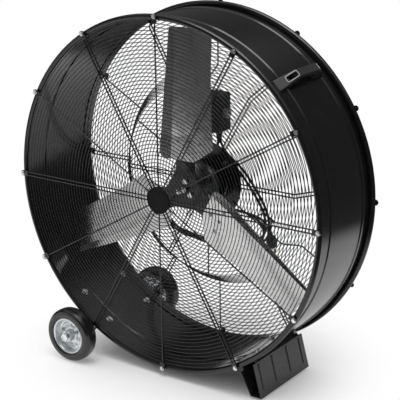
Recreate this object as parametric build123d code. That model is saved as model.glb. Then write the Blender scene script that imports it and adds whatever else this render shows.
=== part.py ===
from build123d import *
import math
import os

# A 36-inch drum fan on two wheels and a folded steel foot. Millimetres. Everything is
# drawn about the middle of the drum, with the drum's axis along Y and the air blown
# towards -Y, and is lifted by axis_height when it is saved, so that Z = 0 is the floor.
# Angles round the drum count from the top, towards +X.

# ---------------------------------------------------------------- overall and drum shell
shell_inner_r = 489.0
shell_wall = 1.5
shell_floor_gap = 35.5
bead_r = 8.0
bead_plane = 140.0
bead_gap_from = 14.0
bead_gap_to = 48.0
swage_depth = 2.5
swage_base = 15.0
swage_top = 7.0
swage_front_y = -70.0
swage_rear_y = 101.0

# ---------------------------------------------------------------- clearances between pieces
seat_gap = 0.02
slip_gap = 0.05
hole_gap = 0.3
run_gap = 0.5

# ---------------------------------------------------------------- wire guards
spoke_r = 2.0
ring_wire_r = 1.2
ring_wire_sides = 8
ring_pitch = 10.2
spoke_step = 30.0
pair_half = 5.2
front_ring_inset = 7.5
front_inner_ring_r = 32.7
front_spoke_inner_r = 28.0
single_spoke_reach = 4.0
pair_spoke_reach = 16.0
rear_ring_inset = 10.0
rear_outer_inner_ring_r = 337.0
rear_inner_ring_r = 116.0
rear_inner_outer_ring_r = 284.0
rim_joggle_inset = 3.0
rim_joggle_run = 8.0
rear_flat_y = 138.0
rear_recess_y = 80.0
cone_outer_r = 325.0
cone_inner_r = 290.0
cone_ring_count = 6
rear_bend_r = 9.0
rear_spoke_inner_r = 98.0

badge_r = 38.0
badge_wall = 1.5
badge_rim = 1.0

# ---------------------------------------------------------------- guard clips and screws
clip_screw_reach = 11.0
clip_half_width = 8.0
clip_inset = 7.0
clip_wall = 1.5
clip_screw_shank_r = 2.5
clip_screw_washer_r = 6.5
clip_screw_washer_t = 1.2
clip_screw_head_r = 4.6
clip_screw_head_t = 3.0
clip_screw_length = 14.0

# ---------------------------------------------------------------- motor
motor_r = 65.5
motor_wall = 3.0
motor_front_y = 29.0
motor_rear_y = 155.0
bell_depth = 15.0
bell_wall = 4.0
spigot_depth = 6.0
spigot_wall = 2.5
shaft_r = 8.5
shaft_front_y = -38.0
shaft_rear_y = 148.0
bearing_r = 20.0
bearing_width = 12.0
bearing_boss_wall = 6.0
stator_inner_r = 37.4
stator_from_y = 62.0
stator_to_y = 114.0
stator_slots = 12
slot_width = 6.0
slot_depth = 15.0
winding_overhang = 11.0
air_gap = 0.4
end_ring_t = 5.0
tie_rod_r = 2.4
tie_rod_circle_r = 59.0
tie_rod_head_r = 4.2
tie_rod_head_t = 3.2
vent_count = 8
vent_r = 46.0
vent_width = 7.0
vent_length = 15.0

mount_ring_outer_r = 112.0
mount_ring_wall = 4.0
mount_ring_clear = 1.5
mount_bolt_circle_r = 88.0
mount_bolt_r = 4.0
mount_bolt_angle = 45.0
lug_width = 24.0
lug_wall = 5.0
lug_end_r = 99.0

# ---------------------------------------------------------------- hub, spider and blades
blade_count = 3
blade_step = 360.0 / blade_count
blade_tip_gap = 32.0
blade_wall = 2.0
blade_flat_to = 150.0
blade_root_s = 130.0
blade_end_trim = 1.0
lead_root_c = 97.0
lead_root_y = -22.0
lead_tip_c = 88.0
lead_tip_y = -21.0
crease_root_c = -41.0
crease_tip_c = -16.0
trail_root_c = -72.0
trail_tip_c = -30.0
blade_root_angle = 4.3
blade_tip_angle = 11.2
flap_bend_angle = 15.0
blade_inner_s = 84.0
blade_heel_c = 32.0
blade_shoulder_s = 128.0
lead_edge_hollow = 7.0
root_corner_r = 22.0
heel_corner_r = 25.0
shoulder_corner_r = 12.0

spider_wall = 5.0
spider_waist_r = 52.0
arm_twist_end_s = 79.0
arm_neck_s = 78.0
arm_neck_half = 28.0
arm_end_s = 152.0
arm_end_from_c = -36.0
arm_end_to_c = 60.0
arm_end_corner_r = 12.0
blade_bolt_row_s = 135.0
blade_bolt_inner_s = 103.0
blade_bolt_mid_c = 11.0
blade_bolt_pitch_c = 36.0
blade_bolt_r = 3.0

hub_flange_r = 34.0
hub_flange_t = 9.0
hub_boss_r = 21.0
hub_boss_length = 28.0
hub_bolt_circle_r = 23.5
hub_bolt_angle = 5.0
hub_bolt_r = 4.0
set_screw_r = 3.0

# ---------------------------------------------------------------- wheels and axle
tyre_r = 80.0
tyre_half = 23.0
tyre_shoulder_r = 15.0
tyre_bead_r = 50.0
tyre_bead_bevel = 4.0
rim_wall = 2.5
rim_lip_r = 54.0
rim_half = 19.0
rim_hub_r = 17.0
rim_hub_half = 24.0
rim_web_t = 3.0
rim_hole_r = 4.5
rim_hole_circle_r = 34.0
bush_wall = 2.5
axle_r = 8.0
axle_share = 584 / 981
wheel_y = 202.7
spacer_r = 12.0
axle_washer_r = 15.0
axle_washer_t = 2.0
axle_nut_r = 12.5
axle_nut_t = 9.0

# ---------------------------------------------------------------- axle brackets
bracket_wall = 4.0
bracket_plate_y = 106.0
bracket_flange_margin = 13.0
bracket_bolt_angles = (-137.3, -150.8)
bracket_edge_angle = 1.9
bracket_eye_r = 19.0

# ---------------------------------------------------------------- folded foot
foot_half = 125.6
foot_wall = 2.5
foot_upper_half = 111.0
foot_share = 200 / 327
foot_outer_top = (-10.0, 103.0)
foot_outer_bottom = (15.0, 7.0)
foot_inner_bottom = (-18.0, 7.0)
foot_inner_top = (-50.0, 70.0)
foot_outer_root_angle = 146.2
foot_inner_root_angle = 151.2
foot_flange_reach = 4.9
foot_fold_angle = 0.2
foot_bolt_angles = (144.0, 153.6)
foot_rib_y = (-104.5, -38.5, 36.5, 104.5)
foot_rib_r = 3.0
foot_rib_top = 96.0
foot_rib_bottom = 26.0
pad_r = 9.0
pad_y = 95.0
pad_stem_r = 3.5
pad_button_r = 5.0
pad_button_t = 2.0

# ---------------------------------------------------------------- hex bolts through the drum
frame_bolt_front_y = -95.0
frame_bolt_rear_y = 83.0
frame_bolt_r = 4.0
frame_bolt_head_r = 7.2
frame_bolt_head_t = 5.3
frame_washer_r = 10.0
frame_washer_t = 1.6
frame_nut_t = 6.5

# ---------------------------------------------------------------- carrying handle
handle_angle = 45.0
handle_height = 40.5
handle_top_half = 48.0
handle_flare_from = 42.0
handle_foot_half = 106.0
handle_width = 23.0
handle_foot_width = 34.0
handle_grip_t = 13.0
handle_gap_half = 38.0
handle_gap_foot_half = 52.0
handle_edge_r = 2.5
pocket_from_y = 51.0
pocket_to_y = 78.0
pocket_width = 14.0
pocket_depth = 28.0
handle_screw_y = 70.0

# ---------------------------------------------------------------- switch box
box_width = 66.0
box_height = 110.0
box_depth = 58.0
box_wall = 2.5
box_centre_x = 6.0
box_centre_z = 196.0
box_corner_r = 5.0
lid_wall = 3.0
box_bracket_wall = 2.0
box_bracket_width = 30.0
box_bracket_overlap = 19.0
clamp_wall = 1.5
clamp_height = 6.0
clamp_length = 26.0
clamp_screw_r = 2.0
clamp_screw_offset = 8.5
box_screw_r = 2.0
box_screw_inset = 7.0
switch_body = (24.0, 28.0, 34.0)
knob_y = 113.0
knob_z = 196.0
knob_r = 14.0
knob_depth = 15.0
knob_stem_r = 3.0
knob_ridge = 2.0
capacitor_r = 14.0
capacitor_length = 42.0

# ---------------------------------------------------------------- cables
motor_cable_r = 3.5
motor_cable_y = 131.0
motor_cable_bow = 5.0
gland_r = 8.0
gland_t = 9.0
lead_r = 3.75
lead_exit_x = 24.0
lead_y = 110.0
relief_collar_r = 9.0
relief_collar_t = 5.0
relief_length = 26.0

coil_half_depth = 12.0
coil_steps = 48
coil_top_r = 73.5
coil_drop = 118.0
coil_right_lobe = 74.0
coil_left_lobe = 70.0
coil_right_angle = 128.0
coil_left_angle = 228.0
coil_lobe_spread = 22.0
coil_turn_gap = 9.0
low_loop_half = 178.0
low_loop_rise = 50.0
low_loop_z = -136.0
low_loop_swell = 0.6
tail_route = ((122, 110, -88), (146, 117, -92), (164, 126, -103), (174, 134, -120), (176, 137, -141))

plug_r = 13.0
plug_length = 34.0
plug_neck_r = 6.5
plug_neck_length = 12.0
plug_pin_length = 17.0
tie_width = 6.0
tie_wall = 1.5
tie_corner_r = 4.0
tie_inner_gap = 6
tie_outer_gap = 10
tie_spoke_angle = 120.0
tie_offset = 11.0

# ---------------------------------------------------------------- derived sizes
shell_outer_r = shell_inner_r + shell_wall
axis_height = shell_outer_r + shell_floor_gap
guard_outer_ring_r = shell_inner_r - front_ring_inset
rear_outer_ring_r = shell_inner_r - rear_ring_inset
single_spoke_end_r = shell_inner_r + single_spoke_reach
pair_spoke_end_r = shell_inner_r + pair_spoke_reach
rim_joggle_r = shell_inner_r - rim_joggle_inset
clip_screw_r = shell_inner_r + clip_screw_reach
clip_inner_r = shell_inner_r - clip_inset
blade_tip_r = shell_inner_r - blade_tip_gap
blade_end_s = blade_tip_r - blade_end_trim
handle_top_r = shell_outer_r + handle_height
pocket_floor_r = handle_top_r - pocket_depth
bead_centre_r = shell_inner_r + bead_r
bead_crest = bead_plane + bead_r
rim_spoke_y = bead_crest + spoke_r
ring_offset = spoke_r + ring_wire_r + seat_gap
clip_y = rim_spoke_y + spoke_r
clip_hole_r = clip_screw_shank_r + hole_gap / 2
front_ring_y = -rim_spoke_y + ring_offset
rear_flat_ring_y = rear_flat_y - ring_offset
rear_recess_ring_y = rear_recess_y - ring_offset
mount_face_y = rear_recess_y + spoke_r
frame_hole_r = frame_bolt_r + hole_gap
frame_bolt_ys = (frame_bolt_front_y, frame_bolt_rear_y)
axle_x = -shell_outer_r * axle_share
axle_z = tyre_r - axis_height
foot_x = shell_outer_r * foot_share
motor_length = motor_rear_y - motor_front_y
crease_root_y = lead_root_y - (lead_root_c - crease_root_c) * math.tan(math.radians(blade_root_angle))
arm_front_y = crease_root_y + blade_wall / 2
spider_front_y = arm_front_y - crease_root_c * math.tan(math.radians(blade_root_angle))
spider_back_y = spider_front_y + spider_wall
stator_outer_r = motor_r - motor_wall - seat_gap
box_front_y = mount_face_y + box_bracket_wall
box_back_y = box_front_y + box_depth
box_bottom_z = box_centre_z - box_height / 2
box_right_x = box_centre_x + box_width / 2
coil_front_y = lead_y - coil_half_depth
coil_back_y = lead_y + coil_half_depth
wheel_inner_y = wheel_y - rim_hub_half
wheel_outer_y = wheel_y + rim_hub_half
pad_top_z = foot_outer_bottom[1] - axis_height

os.makedirs("parts", exist_ok=True)


# ---------------------------------------------------------------- helpers
def tangent(angle_deg):
    """Tangent of an angle in degrees."""
    return math.tan(math.radians(angle_deg))


def turn(angle, shape):
    """Turn a shape drawn at the top of the drum to its angle round the drum."""
    return Rot(0, angle, 0) * shape


def lathe(*outline):
    """Solid of revolution about the drum's axis, from (radius, y) points."""
    return revolve(make_face(Polyline(*outline, close=True)), Axis.Y)


def tube(outer, inner, from_y, to_y):
    """Tube about the drum's axis."""
    return lathe((inner, from_y), (outer, from_y), (outer, to_y), (inner, to_y))


def disc(radius, from_y, to_y):
    """Solid disc about the drum's axis."""
    return lathe((0, from_y), (radius, from_y), (radius, to_y), (0, to_y))


def drum_side(rise):
    """Half section of the drum's outside, raised by rise: x is the radius, y the drum's y."""
    wall = shell_outer_r + rise
    points = [(0, -bead_plane), (wall, -bead_plane)]
    for y in (swage_front_y, swage_rear_y):
        points += [(wall, y - swage_base / 2), (wall + swage_depth, y - swage_top / 2),
                   (wall + swage_depth, y + swage_top / 2), (wall, y + swage_base / 2)]
    points += [(wall, bead_plane), (0, bead_plane)]
    return make_face(Polyline(*points, close=True))


def drum_body():
    """The drum's outside with the gap that everything on it keeps."""
    return revolve(drum_side(seat_gap), Axis.Y)


def drum_flange(wall, y_from, y_to, angle_from, angle_to):
    """Plate that follows the drum and its ribs between two angles."""
    profile = drum_side(seat_gap + wall) - drum_side(seat_gap)
    profile &= Pos(shell_outer_r, (y_from + y_to) / 2) * Rectangle(40, y_to - y_from)
    return turn(angle_from - 90, revolve(profile, Axis.Y, angle_to - angle_from))


def radial_plane(angle, radius, y):
    """Plane that faces outwards, with its X round the drum and its Y along the axis."""
    a = math.radians(angle)
    centre = (radius * math.sin(a), y, radius * math.cos(a))
    return Plane(origin=centre, x_dir=(math.cos(a), 0, -math.sin(a)), z_dir=(math.sin(a), 0, math.cos(a)))


def rod(plane, radius, start, end):
    """Cylinder along a plane's normal, from start to end."""
    return plane * Pos(0, 0, (start + end) / 2) * Cylinder(radius, end - start)


def hexagon(plane, corner_r, start, end):
    """Hexagonal prism along a plane's normal, from start to end."""
    return plane * extrude(Pos(0, 0, start) * RegularPolygon(corner_r, 6), end - start)


def bolt(plane, shank, head, head_t, washer, washer_t, grip, nut_t=0.0, tail=2.5):
    """Bolt seated on a plane: washer and hexagon head above it, shank and nut below."""
    body = rod(plane, shank, -grip - nut_t - tail, washer_t)
    body += rod(plane, washer, 0, washer_t)
    body += hexagon(plane, head, washer_t, washer_t + head_t)
    if nut_t:
        body += hexagon(plane, head, -grip - nut_t, -grip)
    return body


def drum_bolt(angle, y, grip):
    """Bolt through the drum's wall, with its head inside and its nut outside."""
    sagitta = shell_inner_r - math.sqrt(shell_inner_r ** 2 - frame_washer_r ** 2)
    seat = radial_plane(angle, shell_inner_r - sagitta - seat_gap, y)
    inward = Plane(origin=seat.origin, x_dir=seat.x_dir, z_dir=-seat.z_dir)
    reach = grip + sagitta + 2 * seat_gap
    return bolt(inward, frame_bolt_r, frame_bolt_head_r, frame_bolt_head_t, frame_washer_r,
                frame_washer_t, reach, frame_nut_t)


def wall_holes(shape, angles, ys):
    """Drill radial bolt holes through anything that lies on the drum's wall."""
    for angle in angles:
        for y in ys:
            shape -= rod(radial_plane(angle, shell_inner_r, y), frame_hole_r, -10, 20)
    return shape


def wire(path, radius):
    """Round wire along a path."""
    start = Plane(origin=path @ 0, z_dir=path % 0)
    return sweep(start * Circle(radius), path=path)


def spiral(inner, outer, y):
    """Guard ring wire: one eight-sided wire wound in half circles on two centres."""
    halves = round(2 * (outer - inner) / ring_pitch)
    section = Rot(0, 0, 180 / ring_wire_sides) * RegularPolygon(ring_wire_r, ring_wire_sides, major_radius=False)
    faces = []
    for k in range(halves + 1):
        shift = -ring_pitch / 2 * (k % 2)
        side = 1 if k % 2 else -1
        start = Pos(shift + side * (inner + k * ring_pitch / 2), y) * section
        half = revolve(start, Axis((shift, y, 0), (0, -1, 0)), 180)
        *sides, end_1, end_2 = sorted(half.faces(), key=lambda face: -abs(face.center().Z))
        faces += sides
        ends = sorted((end_1, end_2), key=lambda face: face.center().X)
        if k == 0:
            faces.append(ends[0])
        if k == halves:
            faces.append(ends[0] if k % 2 else ends[-1])
    return Solid(Shell(faces))


def is_pair(angle):
    """Pairs of spokes stand at 30, 90 and 150 degrees each side of the top."""
    return round(angle / spoke_step) % 2 == 1


def spoke_angles():
    """The angles of the spokes, from the top."""
    return [k * spoke_step for k in range(round(360 / spoke_step))]


def strip(points, wall):
    """Outline of a folded sheet about its centre line, with mitred folds."""
    left, right = [], []
    for i, point in enumerate(points):
        before = Vector(*points[max(i - 1, 0)])
        here = Vector(*point)
        after = Vector(*points[min(i + 1, len(points) - 1)])
        d1 = (here - before).normalized() if i > 0 else (after - here).normalized()
        d2 = (after - here).normalized() if i < len(points) - 1 else d1
        mitre = Vector(-(d1.Y + d2.Y), d1.X + d2.X).normalized()
        reach = wall / 2 / mitre.dot(Vector(-d1.Y, d1.X))
        left.append(here + mitre * reach)
        right.append(here - mitre * reach)
    return Polyline(*left, *reversed(right), close=True)


def rounded(points, radii):
    """Flat outline with its own radius at each corner, none where it is 0."""
    face = make_face(Polyline(*points, close=True))
    for point, radius in zip(points, radii):
        if radius:
            face = fillet(face.vertices().sort_by_distance((*point, 0))[0], radius)
    return face


def save(name, shape):
    """Lift a piece to its height above the floor and write it as its own node."""
    export_step(Pos(0, 0, axis_height) * shape, f"parts/{name}.step")


# ---------------------------------------------------------------- drum shell
def bead_profile(side):
    """Rolled edge: a tube open towards the wall, on one end of the drum."""
    ring = Circle(bead_r) - Circle(bead_r - shell_wall)
    reach = 2 * bead_r
    wedge = make_face(Polyline((0, 0), (-reach, reach * tangent(bead_gap_from)),
                               (-reach, reach * tangent(bead_gap_to)), close=True))
    ring -= wedge
    if side > 0:
        ring = ring.mirror(Plane.XZ)
    return Pos(bead_centre_r, side * bead_plane) * ring


def swage_profile(y):
    """Stiffening step rolled outwards into the drum's wall."""
    points = [(0, -swage_base / 2), (swage_depth, -swage_top / 2), (swage_depth, swage_top / 2),
              (0, swage_base / 2)]
    outer = Pos(shell_outer_r, y) * make_face(Polyline(*points, close=True))
    inner = Pos(shell_inner_r, y) * make_face(Polyline(*points, close=True))
    return outer, inner


def drum_shell():
    profile = Pos(shell_inner_r + shell_wall / 2, 0) * Rectangle(shell_wall, 2 * bead_plane)
    profile += bead_profile(-1) + bead_profile(1)
    for y in (swage_front_y, swage_rear_y):
        outer, inner = swage_profile(y)
        profile = profile + outer - inner
    shell = revolve(profile, Axis.Y)
    for side in (-1, 1):
        for angle in spoke_angles():
            hole = Pos(0, side * bead_crest, clip_screw_r) * Rot(90, 0, 0) * Cylinder(clip_hole_r, 2 * bead_r)
            shell -= turn(angle, hole)
    shell = wall_holes(shell, bracket_bolt_angles + foot_bolt_angles, frame_bolt_ys)
    return wall_holes(shell, (handle_angle,), (-handle_screw_y, handle_screw_y))


# ---------------------------------------------------------------- guards
def front_spokes():
    """Hairpin pairs and single wires that lie flat on the front bead."""
    y = -rim_spoke_y
    spokes = []
    for angle in spoke_angles():
        if is_pair(angle):
            bend = front_spoke_inner_r + pair_half
            leg_in = Line((-pair_half, y, pair_spoke_end_r), (-pair_half, y, bend))
            loop = ThreePointArc((-pair_half, y, bend), (0, y, front_spoke_inner_r), (pair_half, y, bend))
            leg_out = Line((pair_half, y, bend), (pair_half, y, pair_spoke_end_r))
            path = Wire([*leg_in.edges(), *loop.edges(), *leg_out.edges()])
        else:
            path = Wire(Line((0, y, single_spoke_end_r), (0, y, front_spoke_inner_r)).edges())
        spokes.append(turn(angle, wire(path, spoke_r)))
    return Compound(children=spokes)


def rear_spoke(offset, end_r):
    """One bent wire of the dished rear guard, offset sideways from its angle."""
    route = [(end_r, rim_spoke_y), (rim_joggle_r, rim_spoke_y), (rim_joggle_r - rim_joggle_run, rear_flat_y),
             (cone_outer_r, rear_flat_y), (cone_inner_r, rear_recess_y), (rear_spoke_inner_r, rear_recess_y)]
    points = [(offset, y, r) for r, y in route]
    small = rear_bend_r / 2
    path = FilletPolyline(*points, radius=[small, small, rear_bend_r, rear_bend_r])
    return wire(Wire(path.edges()), spoke_r)


def rear_spokes():
    spokes = []
    for angle in spoke_angles():
        offsets = (-pair_half, pair_half) if is_pair(angle) else (0.0,)
        end_r = pair_spoke_end_r if is_pair(angle) else single_spoke_end_r
        for offset in offsets:
            spokes.append(turn(angle, rear_spoke(offset, end_r)))
    return Compound(children=spokes)


def cone_rings():
    """Separate rings welded along the cone of the rear guard."""
    run = Vector(cone_inner_r - cone_outer_r, rear_recess_y - rear_flat_y)
    outward = Vector(-run.Y, run.X).normalized() * ring_offset
    rings = []
    for k in range(cone_ring_count):
        place = Vector(cone_outer_r, rear_flat_y) + run * ((k + 0.5) / cone_ring_count) + outward
        rings.append(revolve(Pos(place.X, place.Y) * Circle(ring_wire_r), Axis.Y))
    return Compound(children=rings)


def centre_disc():
    """Pressed disc over the front guard's centre, with a raised rim."""
    front = -clip_y - badge_wall
    return lathe((0, front), (badge_r - 4, front), (badge_r - 3, front - badge_rim), (badge_r - 1, front - badge_rim),
                 (badge_r, front), (badge_r, -clip_y), (0, -clip_y))


def round_both_guards(piece):
    """Repeat a piece at every spoke of the front guard and the rear guard."""
    return Compound(children=[turn(angle, piece(side)) for side in (-1, 1) for angle in spoke_angles()])


def guard_clip(side):
    """Zinc clip that holds the spoke ends against the bead, under each screw."""
    plate = Pos(0, clip_screw_r) * Circle(clip_half_width)
    plate += Pos(0, (clip_inner_r + clip_screw_r) / 2) * Rectangle(2 * clip_half_width,
                                                                  clip_screw_r - clip_inner_r)
    plate -= Pos(0, clip_screw_r) * Circle(clip_hole_r)
    face = Plane(origin=(0, side * clip_y, 0), x_dir=(-side, 0, 0), z_dir=(0, side, 0))
    return extrude(face * plate, clip_wall)


def guard_screw(side):
    """Flanged pan head screw through a clip into the bead."""
    seat = Plane(origin=(0, side * (clip_y + clip_wall), clip_screw_r), x_dir=(1, 0, 0), z_dir=(0, side, 0))
    screw = rod(seat, clip_screw_shank_r, -clip_screw_length, clip_screw_washer_t)
    screw += rod(seat, clip_screw_washer_r, 0, clip_screw_washer_t)
    head = rod(seat, clip_screw_head_r, clip_screw_washer_t, clip_screw_washer_t + clip_screw_head_t)
    slot = seat * Pos(0, 0, clip_screw_washer_t + clip_screw_head_t) * Box(2 * clip_screw_head_r, 1.2, 2)
    return screw + (head - slot)


# ---------------------------------------------------------------- motor
def motor_mount_ring():
    """Steel ring behind the rear spokes' inner ends, which carries the motor's lugs."""
    ring = tube(mount_ring_outer_r, motor_r + mount_ring_clear, mount_face_y, mount_face_y + mount_ring_wall)
    for k in range(4):
        hole = rod(mount_bolt_plane(), mount_bolt_r + hole_gap, -40, 40)
        ring -= turn(mount_bolt_angle + 90 * k, hole)
    return ring


def mount_bolt_plane():
    """Seat of a motor bolt's head, on the back of a lug at the top."""
    y = mount_face_y + mount_ring_wall + lug_wall
    return Plane(origin=(0, y, mount_bolt_circle_r), x_dir=(1, 0, 0), z_dir=(0, 1, 0))


def motor_mount_bolts():
    seat = mount_bolt_plane()
    grip = mount_ring_wall + lug_wall
    one = bolt(seat, mount_bolt_r, 7.2, 4.0, 8.0, 1.4, grip, 6.5, 1.0)
    return Compound(children=[turn(mount_bolt_angle + 90 * k, one) for k in range(4)])


def motor_housing():
    """Rolled motor body with four lugs."""
    inner = motor_r - motor_wall
    body = tube(motor_r, inner, motor_front_y + bell_depth, motor_rear_y - bell_depth)
    lug_y = mount_face_y + mount_ring_wall + lug_wall / 2
    for k in range(4):
        middle = (inner + lug_end_r) / 2
        lug = Pos(0, lug_y, middle) * Box(lug_width, lug_wall, lug_end_r - inner)
        lug -= rod(mount_bolt_plane(), mount_bolt_r + hole_gap, -40, 40)
        body += turn(mount_bolt_angle + 90 * k, lug)
    body -= disc(inner, motor_front_y, motor_rear_y)
    return body


def end_bell(front):
    """End cover with its bearing seat, a spigot in the housing and vent slots."""
    side = 1 if front else -1
    face_y = motor_front_y if front else motor_rear_y
    seat_y = face_y + side * (bell_wall + bearing_width)
    rim_y = face_y + side * bell_depth
    spigot_y = rim_y + side * spigot_depth
    spigot_r = motor_r - motor_wall - seat_gap
    hole_r = shaft_r + run_gap if front else 0
    bell = lathe((hole_r, face_y), (motor_r - 4, face_y), (motor_r, face_y + side * 4), (motor_r, rim_y),
                 (spigot_r, rim_y), (spigot_r, spigot_y), (spigot_r - spigot_wall, spigot_y),
                 (spigot_r - spigot_wall, face_y + side * bell_wall),
                 (bearing_r + bearing_boss_wall, face_y + side * bell_wall),
                 (bearing_r + bearing_boss_wall, seat_y), (bearing_r + seat_gap, seat_y),
                 (bearing_r + seat_gap, face_y + side * bell_wall), (hole_r, face_y + side * bell_wall))
    for k in range(vent_count):
        slot = Pos(0, face_y, vent_r) * Box(vent_width, 4 * bell_wall, vent_length)
        bell -= turn((k + 0.5) * 360 / vent_count, slot)
    for k in range(4):
        bell -= turn(90 * k, rod(tie_rod_plane(), tie_rod_r + slip_gap, -2 * motor_length, motor_length))
    return bell


def tie_rod_plane():
    """Seat of a tie rod's head, on the rear end bell at the top."""
    return Plane(origin=(0, motor_rear_y, tie_rod_circle_r), x_dir=(1, 0, 0), z_dir=(0, 1, 0))


def tie_rods():
    """Four rods that clamp the end bells on the housing."""
    seat = tie_rod_plane()
    one = rod(seat, tie_rod_r, 1 - motor_length, 0) + rod(seat, tie_rod_head_r, 0, tie_rod_head_t)
    return Compound(children=[turn(90 * k, one) for k in range(4)])


def bearing(front):
    side = 1 if front else -1
    near = (motor_front_y if front else motor_rear_y) + side * bell_wall
    ring = tube(bearing_r, shaft_r + slip_gap, min(near, near + side * bearing_width),
                max(near, near + side * bearing_width))
    for end in (near, near + side * bearing_width):
        ring -= tube(bearing_r - 4, shaft_r + 4, end - 0.8, end + 0.8)
    return ring


def stator_slot():
    """Slot at the top of the stator, open into its bore."""
    bottom = stator_inner_r + slot_depth
    opening = stator_inner_r - slot_width
    length = stator_to_y - stator_from_y
    return Pos(0, (stator_from_y + stator_to_y) / 2, (bottom + opening) / 2) * Box(slot_width, length,
                                                                                   bottom - opening)


def stator_core():
    core = tube(stator_outer_r, stator_inner_r, stator_from_y, stator_to_y)
    for k in range(stator_slots):
        core -= turn((k + 0.5) * 360 / stator_slots, stator_slot())
    for k in range(4):
        core -= turn(90 * k, rod(tie_rod_plane(), tie_rod_r + slip_gap, -2 * motor_length, motor_length))
    return core


def stator_windings():
    """Copper in the slots, joined by the end turns at both ends of the core."""
    low = stator_inner_r + 2
    high = stator_inner_r + slot_depth - 1
    coil = tube(high, low, stator_from_y - winding_overhang, stator_from_y)
    coil += tube(high, low, stator_to_y, stator_to_y + winding_overhang)
    for k in range(stator_slots):
        coil += turn((k + 0.5) * 360 / stator_slots, stator_bar(low, high))
    return coil


def stator_bar(low, high):
    """The copper in one slot."""
    length = stator_to_y - stator_from_y
    return Pos(0, (stator_from_y + stator_to_y) / 2, (low + high) / 2) * Box(slot_width - 2 * hole_gap, length,
                                                                            high - low)


def motor_rotor():
    """Laminated rotor with its two end rings."""
    core_r = stator_inner_r - air_gap
    bore = shaft_r + seat_gap
    return lathe((bore, stator_from_y), (core_r - 12, stator_from_y), (core_r - 12, stator_from_y - end_ring_t),
                 (core_r - 1, stator_from_y - end_ring_t), (core_r - 1, stator_from_y), (core_r, stator_from_y),
                 (core_r, stator_to_y), (core_r - 1, stator_to_y), (core_r - 1, stator_to_y + end_ring_t),
                 (core_r - 12, stator_to_y + end_ring_t), (core_r - 12, stator_to_y), (bore, stator_to_y))


# ---------------------------------------------------------------- hub, spider and blades
def blade_section(s):
    """Creased strip across one blade at radius s: x is across the blade, y is the drum's y."""
    share = (s - blade_flat_to) / (blade_end_s - blade_flat_to)
    share = max(share, 0.0)
    pitch = blade_root_angle + (blade_tip_angle - blade_root_angle) * share
    run = (s - blade_root_s) / (blade_end_s - blade_root_s)
    lead_c = lead_root_c + (lead_tip_c - lead_root_c) * run
    lead_y = lead_root_y + (lead_tip_y - lead_root_y) * share
    crease_c = crease_root_c + (crease_tip_c - crease_root_c) * run
    crease_y = lead_y - (lead_c - crease_c) * tangent(pitch)
    if share == 0:
        crease_y = crease_root_y + (crease_c - crease_root_c) * tangent(pitch)
    beyond = 60.0
    top = [(crease_c - beyond, crease_y - beyond * tangent(pitch + flap_bend_angle)), (crease_c, crease_y),
           (crease_c + 2.5 * beyond, crease_y + 2.5 * beyond * tangent(pitch))]
    half = blade_wall / 2
    outline = [(c, y - half) for c, y in top] + [(c, y + half) for c, y in reversed(top)]
    plane = Plane(origin=(0, 0, s), x_dir=(1, 0, 0), z_dir=(0, 0, 1))
    return plane * make_face(Polyline(*outline, close=True))


def blade_planform():
    """Outline of a blade seen along the drum's axis: x across it, y outwards."""
    slope = (trail_tip_c - trail_root_c) / (blade_end_s - blade_root_s)
    root_c = trail_root_c + slope * (blade_inner_s - blade_root_s)
    beyond = blade_tip_r + 20
    tip_c = trail_root_c + slope * (beyond - blade_root_s)
    points = [(tip_c, beyond), (root_c, blade_inner_s), (blade_heel_c, blade_inner_s - 2),
              (lead_root_c, blade_shoulder_s), (lead_tip_c, beyond)]
    face = rounded(points, (0, root_corner_r, heel_corner_r, shoulder_corner_r, 0))
    face &= Circle(blade_tip_r)
    chord = blade_end_s - blade_shoulder_s
    hollow_r = chord ** 2 / (8 * lead_edge_hollow)
    middle_c = (lead_root_c + lead_tip_c) / 2
    centre = (middle_c + hollow_r - lead_edge_hollow, (blade_end_s + blade_shoulder_s) / 2)
    return face - Pos(*centre) * Circle(hollow_r)


def blade_bolt_spots():
    """Places of a blade's bolts: (across, outwards)."""
    row = [(blade_bolt_mid_c + k * blade_bolt_pitch_c, blade_bolt_row_s) for k in (-1, 0, 1)]
    return row + [(blade_bolt_mid_c, blade_bolt_inner_s)]


def blade_bolt_plane(c, s):
    """Seat of a blade bolt's head on the blade's front, at the top."""
    pitch = math.radians(blade_root_angle)
    y = crease_root_y + (c - crease_root_c) * math.tan(pitch)
    normal = Vector(math.sin(pitch), -math.cos(pitch), 0)
    seat = Vector(c, y, s) + normal * (blade_wall / 2 + seat_gap)
    return Plane(origin=seat, x_dir=(0, 0, 1), z_dir=normal)


def blade(k):
    sheet = loft([blade_section(s) for s in (blade_inner_s - 20, blade_flat_to, blade_tip_r + 5)], ruled=True)
    looking = Plane(origin=(0, 0, 0), x_dir=(1, 0, 0), z_dir=(0, -1, 0))
    cutter = extrude(looking * blade_planform(), 200)
    sheet &= cutter
    for c, s in blade_bolt_spots():
        sheet -= rod(blade_bolt_plane(c, s), blade_bolt_r + hole_gap, -20, 20)
    return turn(k * blade_step, sheet)


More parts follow.
